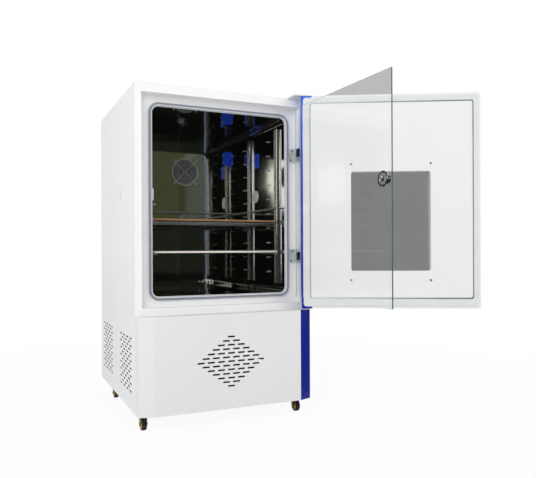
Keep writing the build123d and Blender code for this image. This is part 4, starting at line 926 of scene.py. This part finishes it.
def dress_standards():
    """Four shelf standards, their slots drawn as dark plates of painted shade, and rows of studs on the walls
    between them.
    """
    low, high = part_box("shelf_standards")
    standard_places, slot_pitch, slots = (-0.286, 0.027), 0.0330, 20
    stud_places, stud_pitch, studs = (-0.185, 0.099), 0.0672, 10
    # Depth from the wall and place along it: a rounded flange, a ridge and half the web
    half_profile = [
        (0.0002, -0.0120), (0.0125, -0.0119), (0.0140, -0.0113), (0.0145, -0.0102),
        (0.0140, -0.0091), (0.0125, -0.0086), (0.0040, -0.0084), (0.0036, -0.0050),
        (0.0110, -0.0047), (0.0126, -0.0042), (0.0131, -0.0034), (0.0126, -0.0026),
        (0.0110, -0.0021), (0.0050, -0.0019),
    ]
    profile = half_profile + [(depth, -along) for depth, along in half_profile[::-1]]
    stud_profile = [
        (0, 0.0002), (0.0028, 0.0002), (0.0030, 0.0010), (0.0024, 0.0026), (0.0020, 0.0060),
        (0.0026, 0.0072), (0.0030, 0.0090), (0.0024, 0.0104), (0, 0.0108),
    ]
    slot_half_width, slot_low, slot_high = 0.0019, 0.5195, 0.5305
    stud_foot = 0.541
    swap_axes = Matrix(((0, 1, 0, 0), (1, 0, 0, 0), (0, 0, 1, 0), (0, 0, 0, 1)))
    standards = Shape()
    for side in (-1, 1):
        wall = sideways(side * chamber_side, -side)
        for y in standard_places:
            outline = [(y + along, side * (chamber_side - depth)) for depth, along in profile]
            standards.prism(outline, low.z, high.z, strip_steel, swap_axes, 0.0005)
            # Each slot is a thin dark plate on the web: painted shade where the hole is.
            slot = Shape()
            slot.slab(
                (y - slot_half_width, slot_low, 0.00505), (y + slot_half_width, slot_high, 0.0056),
                dark_plastic, None, 0.0002, 1,
            )
            row_of(standards, slot, dark_plastic, wall, slots, pitch=(0.0, slot_pitch, 0.0))
        for y in stud_places:
            stud = Shape()
            stud.lathe(stud_profile, zinc, shifted(y, stud_foot), 14)
            row_of(standards, stud, zinc, wall, studs, pitch=(0.0, stud_pitch, 0.0))
    standards.place("shelf_standard_strips", "cabinet", "bright_wire", "shelf_standards")


def dress_cover_plates():
    """Two blue plates with clipped corners and four screws each."""
    half_width, half_height, clip = 0.029, 0.036, 0.010
    corners = [
        (half_width, half_height - clip), (half_width - clip, half_height),
        (clip - half_width, half_height), (-half_width, half_height - clip),
    ]
    outline = [(-x, -y) for x, y in corners] + corners
    screw_x, screw_y, plate_face = 0.0235, 0.0215, 0.0015
    screw_profile = [(0, 0), (0.0026, 0), (0.0027, 0.0006), (0.0020, 0.0013), (0, 0.0015)]
    covers = Shape()
    for spot in (
        upright(chamber_back) @ shifted(0.233, 1.114),
        sideways(chamber_side, -1) @ shifted(-0.049, 1.075),
    ):
        covers.prism(outline, 0.0001, plate_face, plate_blue, spot, 0.0004)
        for x in (-screw_x, screw_x):
            screw = Shape()
            screw.lathe(screw_profile, zinc, shifted(x, -screw_y, plate_face), 14)
            row_of(covers, screw, zinc, spot, 2, pitch=(0.0, 2 * screw_y, 0.0))
    covers.place("blue_cover_plates", "cabinet", "trim_blue", "cover_plates")


def dress_shelf(name, body, edge):
    """A wire shelf: a flat frame with a coloured front edge, cross rods and a fine mesh."""
    (left, front, foot), (right, back, top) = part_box(name)
    along_depth, along_width = (math.pi / 2, 0.0, 0.0), (0.0, math.pi / 2, 0.0)
    wire_width = right - left - 0.010
    tray = Shape()
    tray.slab((left, front, foot + 0.0055), (right, front + 0.009, top), edge, None, 0.0024, 3)
    ends = (left + 0.003, right - 0.003)
    tray.rod([(x, front + 0.006, foot + 0.003) for x in ends], 0.0022, dark_chrome)
    tray.slab((left, back - 0.008, foot), (right, back, top), bright_steel, None, 0.0024)
    for x in (left, right - 0.008):
        tray.slab(
            (x, front + 0.009, foot + 0.0005), (x + 0.008, back - 0.007, foot + 0.0125),
            bright_steel, None, 0.0024,
        )
    quarter = (back - front) / 4
    tray.repeat(
        wire_row, wire_steel, Count=3, First=(0.0, front + quarter, foot + 0.0040),
        Pitch=(0.0, quarter, 0.0), Turn=along_width, Radius=0.0026, Length=wire_width, Sides=8,
    )
    tray.repeat(
        wire_row, dark_chrome, Count=60,
        First=(left + 0.0115, (front + back) / 2, foot + 0.0078), Pitch=(0.00903, 0.0, 0.0),
        Turn=along_depth, Radius=0.0011, Length=back - front - 0.011, Sides=6,
    )
    tray.repeat(
        wire_row, dark_chrome, Count=30, First=(0.0, front + 0.0165, foot + 0.0095),
        Pitch=(0.0, 0.0151, 0.0), Turn=along_width, Radius=0.0009, Length=wire_width, Sides=6,
    )
    tray.place("wire_" + name, body, "bright_wire", name)


# Control panel, drawn in the outer door's own frame
def dress_control_panel():
    """The display's figures in seven segments, and two rows of keys."""
    face, lift, stroke = 0.0341, 0.0003, 0.0008
    size, digit_pitch, point_gap = 0.011, 0.020, 0.004
    first_digit, digit_foot = 0.315, 1.1675
    # Each segment's place, then how far it runs along and up
    segments = {
        "a": (0, 2, 1, 0), "b": (1, 1, 0, 1), "c": (1, 0, 0, 1), "d": (0, 0, 1, 0),
        "e": (0, 0, 0, 1), "f": (0, 1, 0, 1), "g": (0, 1, 1, 0),
    }
    figures = {"3": "abgcd", "7": "abc", "0": "abcdef"}
    control = Shape()
    for place, digit in enumerate("370"):
        for letter in figures[digit]:
            column, row, wide, tall = segments[letter]
            # The door's frame runs from its hinge, so the figures stand from high to low
            past_point = point_gap if place == 2 else 0.0
            u = first_digit - place * digit_pitch - past_point - column * size
            z = digit_foot + row * size
            low = (u - (size - 0.0012) * wide - stroke, z - stroke, face - lift)
            high = (u + stroke, z + (size - 0.0012) * tall + stroke, face + lift)
            control.slab(low, high, display_green, outer_door, 0.0003, 1)
    # The decimal point
    control.slab(
        (0.2745, 1.1670, face - lift), (0.2765, 1.1690, face + lift), display_green, outer_door
    )
    key_width, key_height, key_pitch = 0.019, 0.014, 0.027
    first_key, low_row, high_row = 0.390, 1.160, 1.182
    # Three grey keys and a blue one below four grey ones
    for z, u, count, material in (
        (low_row, first_key, 3, key_grey),
        (high_row, first_key, 4, key_grey),
        (low_row, first_key + 3 * key_pitch, 1, key_blue),
    ):
        key = Shape()
        key.slab(
            (u, z, face - lift), (u + key_width, z + key_height, face + 0.0012), material, None,
            0.0009,
        )
        row_of(control, key, material, outer_door, count, pitch=(key_pitch, 0.0, 0.0))
    control.place("control_keys", "outer_door", "black_plastic")


# Casters
def dress_caster_wheel(corner):
    """A black tread on a yellow hub, on the axle that the wheel rolls on."""
    axle = shifted(*joints["roll_" + corner]["pos_m"]) @ Matrix.Rotation(math.pi / 2, 4, "Y")
    # Radius and place along the axle, one half of the wheel
    tread = [(0.0185, -0.0092), (0.0225, -0.0098), (0.0243, -0.0085), (0.0249, -0.005)]
    hub = [
        (0.0036, -0.0095), (0.0075, -0.0098), (0.0085, -0.0075), (0.0155, -0.0065),
        (0.0172, -0.0090), (0.0186, -0.0090),
    ]
    wheel = Shape()
    wheel.lathe(tread + [(0.025, 0)] + [(r, -h) for r, h in tread[::-1]], rubber, axle, 56)
    wheel.lathe(hub + [(r, -h) for r, h in hub[::-1]], hub_yellow, axle, 48)
    wheel.place(
        "caster_tread_" + corner, "wheel_" + corner, "caster_black", "caster_wheel_" + corner
    )


# Stage
glass_background = 0.49


def lay_floor():
    """A pale floor, white to the camera, greyer near the object and through glass."""
    bpy.ops.mesh.primitive_plane_add(size=60, location=(0, 0, floor_level))
    floor = bpy.context.object
    floor.name = "floor"
    paint = finish(
        "floor_paint", srgb(250, 250, 250), 0.004, patch=1.0, grain=40.0, rough=(0.85, 0.95),
        bump=0.0,
    )
    tree = paint.node_tree
    rays = tree.nodes.new("ShaderNodeLightPath")
    ground = tree.nodes.new("ShaderNodeTexCoord")
    reach = tree.nodes.new("ShaderNodeVectorMath")
    reach.operation = "LENGTH"
    tree.links.new(ground.outputs["Object"], reach.inputs[0])
    fade = node(tree, "ShaderNodeMapRange", From_Min=0.9, From_Max=2.6, To_Min=0.93, To_Max=1.0)
    tree.links.new(reach.outputs["Value"], fade.inputs["Value"])
    seen = calculate(tree, "MULTIPLY", rays.outputs["Is Camera Ray"], fade.outputs["Result"])
    surface = tree.nodes["Principled BSDF"].outputs["BSDF"]
    for share, level in ((seen, 1.0), (rays.outputs["Is Transmission Ray"], glass_background)):
        lift = node(tree, "ShaderNodeEmission", Color=(1, 1, 1, 1), Strength=level)
        surface = mix_shaders(tree, share, surface, lift.outputs["Emission"])
    tree.links.new(surface, tree.nodes["Material Output"].inputs["Surface"])
    floor.data.materials.append(paint)


def round_share(tree, centre, radius, ragged):
    """1 near a centre and 0 beyond a radius, with a ragged border."""
    coords = tree.nodes.new("ShaderNodeTexCoord")
    away = tree.nodes.new("ShaderNodeVectorMath")
    away.operation = "DISTANCE"
    away.inputs[1].default_value = centre
    tree.links.new(coords.outputs["Object"], away.inputs[0])
    noise = node(tree, "ShaderNodeTexNoise", Scale=4.5, Detail=2.0)
    tree.links.new(coords.outputs["Object"], noise.inputs["Vector"])
    border = calculate(
        tree, "MULTIPLY_ADD", noise.outputs["Fac"], ragged, away.outputs["Value"]
    )
    near = node(tree, "ShaderNodeMapRange", From_Min=radius, From_Max=0.85 * radius)
    near.interpolation_type = "SMOOTHSTEP"
    tree.links.new(border, near.inputs["Value"])
    return near.outputs["Result"]


def card(name, corners, tone, disc=None):
    """A studio card that shows only in mirror-like surfaces, whole or as a ragged disc."""
    data = bpy.data.meshes.new(name)
    data.from_pydata(corners, [], [(0, 1, 2, 3)])
    made = bpy.data.objects.new(name, data)
    scene.collection.objects.link(made)
    material = bpy.data.materials.new(name)
    material.use_nodes = True
    tree = material.node_tree
    tree.nodes.remove(tree.nodes["Principled BSDF"])
    surface = node(tree, "ShaderNodeEmission", Color=tone).outputs["Emission"]
    through = tree.nodes.new("ShaderNodeBsdfTransparent").outputs["BSDF"]
    if disc:
        surface = mix_shaders(tree, round_share(tree, *disc), through, surface)
    rays = tree.nodes.new("ShaderNodeLightPath")
    mirrored = calculate(tree, "GREATER_THAN", rays.outputs["Glossy Depth"], 0.5)
    surface = mix_shaders(tree, mirrored, through, surface)
    tree.links.new(surface, tree.nodes["Material Output"].inputs["Surface"])
    data.materials.append(material)
    made.visible_camera = False
    made.visible_diffuse = False
    made.visible_shadow = False


def front_patch(name, y, left, right, low, high, tone, disc=None):
    """An upright card at y, facing the cabinet's front."""
    corners = [(left, y, low), (right, y, low), (right, y, high), (left, y, high)]
    card(name, corners, tone + (1.0,), disc)


def hang_cards():
    """The dark room in front of the chamber, and the bright things that its steel mirrors."""
    wall_y, patch_y, disc_y = -4.6, -4.5, -4.45
    side, near_edge, low = 9, -0.55, -0.064
    white_card, grey_card = (0.9, 0.9, 0.9), (0.7, 0.7, 0.7)
    front_patch("front_card", wall_y, -side, side, -1, 7, (0.004, 0.004, 0.004))
    floor_corners = [
        (-side, wall_y, low), (side, wall_y, low), (side, near_edge, low), (-side, near_edge, low)
    ]
    card("floor_card", floor_corners, (0.012, 0.012, 0.011, 1))
    for name, left, right, foot, head, tone in (
        ("olive_patch", 0.75, 1.42, 1.05, 2.6, (0.062, 0.066, 0.036)),
        ("olive_low_patch", 0.75, 1.9, 0.35, 1.05, (0.016, 0.018, 0.013)),
        ("pale_patch", 1.42, 1.95, 1.05, 2.6, (0.12, 0.132, 0.105)),
        ("soft_box", -0.2, 0.55, 0.9, 3.4, white_card),
        ("left_box", -6.0, -3.3, 0.4, 4.0, white_card),
        ("right_box", 2.6, 5.5, 0.4, 4.0, grey_card),
    ):
        front_patch(name, patch_y, left, right, foot, head, tone)
    disc = ((-2.42, disc_y, 1.60), 0.64, 0.30)
    front_patch("blob", disc_y, -3.4, -1.5, 0.6, 2.6, (1.3, 1.3, 1.27), disc)


def light_world():
    """An even white world at a strength chosen by what kind of ray looks at it."""
    world = bpy.data.worlds.new("studio")
    scene.world = world
    world.use_nodes = True
    tree = world.node_tree
    background = tree.nodes["Background"]
    background.inputs["Color"].default_value = (1, 1, 1, 1)
    rays = tree.nodes.new("ShaderNodeLightPath")
    light_on_object, in_mirrors, to_camera = 0.62, 0.9, 1.0
    steps = (
        ("Is Glossy Ray", in_mirrors),
        ("Is Transmission Ray", glass_background),
        ("Is Camera Ray", to_camera),
    )
    strength = light_on_object
    for kind, level in steps:
        mix = tree.nodes.new("ShaderNodeMix")
        tree.links.new(rays.outputs[kind], mix.inputs["Factor"])
        if isinstance(strength, float):
            mix.inputs["A"].default_value = strength
        else:
            tree.links.new(strength, mix.inputs["A"])
        mix.inputs["B"].default_value = level
        strength = mix.outputs["Result"]
    tree.links.new(strength, background.inputs["Strength"])


def hang_lamp(name, place, target, size, power):
    """A soft lamp turned to its target, seen neither directly nor in mirrors."""
    data = bpy.data.lights.new(name, "AREA")
    data.shape = "RECTANGLE"
    data.size, data.size_y = size
    data.energy = power
    made = bpy.data.objects.new(name, data)
    scene.collection.objects.link(made)
    made.location = place
    made.rotation_euler = (Vector(target) - Vector(place)).to_track_quat("-Z", "Y").to_euler()
    made.visible_camera = False
    made.visible_glossy = False


def set_camera():
    """The photograph's view, as solved from the cabinet's edges."""
    data = bpy.data.cameras.new("camera")
    data.sensor_width = 36.0
    data.lens = 40.28
    data.shift_y = 0.0214
    camera = bpy.data.objects.new("camera", data)
    scene.collection.objects.link(camera)
    heading, lean = -24.49, -0.23
    turn = Matrix.Rotation(math.radians(heading), 4, "Z") @ Matrix.Rotation(math.pi / 2, 4, "X")
    roll = Matrix.Rotation(math.radians(lean), 4, "Z")
    camera.matrix_world = shifted(-0.8705, -2.736, 0.6392) @ turn @ roll
    scene.camera = camera


paint_cad_nodes()
dress_chamber_seal()
dress_door_gasket()
dress_glass_pane()
dress_hinge_leaves()
dress_hinge_clamps()
dress_knob()
dress_latch_rose()
dress_fan_guard()
dress_standards()
dress_cover_plates()
dress_shelf("upper_shelf", "shelf_upper", coppery_wire)
dress_shelf("lower_shelf", "shelf_lower", cream_wire)
dress_control_panel()
for corner in caster_corners:
    dress_caster_wheel(corner)
lay_floor()
hang_cards()
light_world()
hang_lamp("key", (-2.6, -3.4, 2.6), (0, 0, 0.7), (2.2, 2.2), 64)
hang_lamp("fill", (2.8, -2.8, 2.4), (0, -0.2, 0.7), (2.4, 2.4), 31)
hang_lamp("side", (-3.2, -0.7, 0.5), (-0.4, 0, 0.35), (1.6, 1.2), 8)
set_camera()

scene.view_settings.view_transform = "Standard"
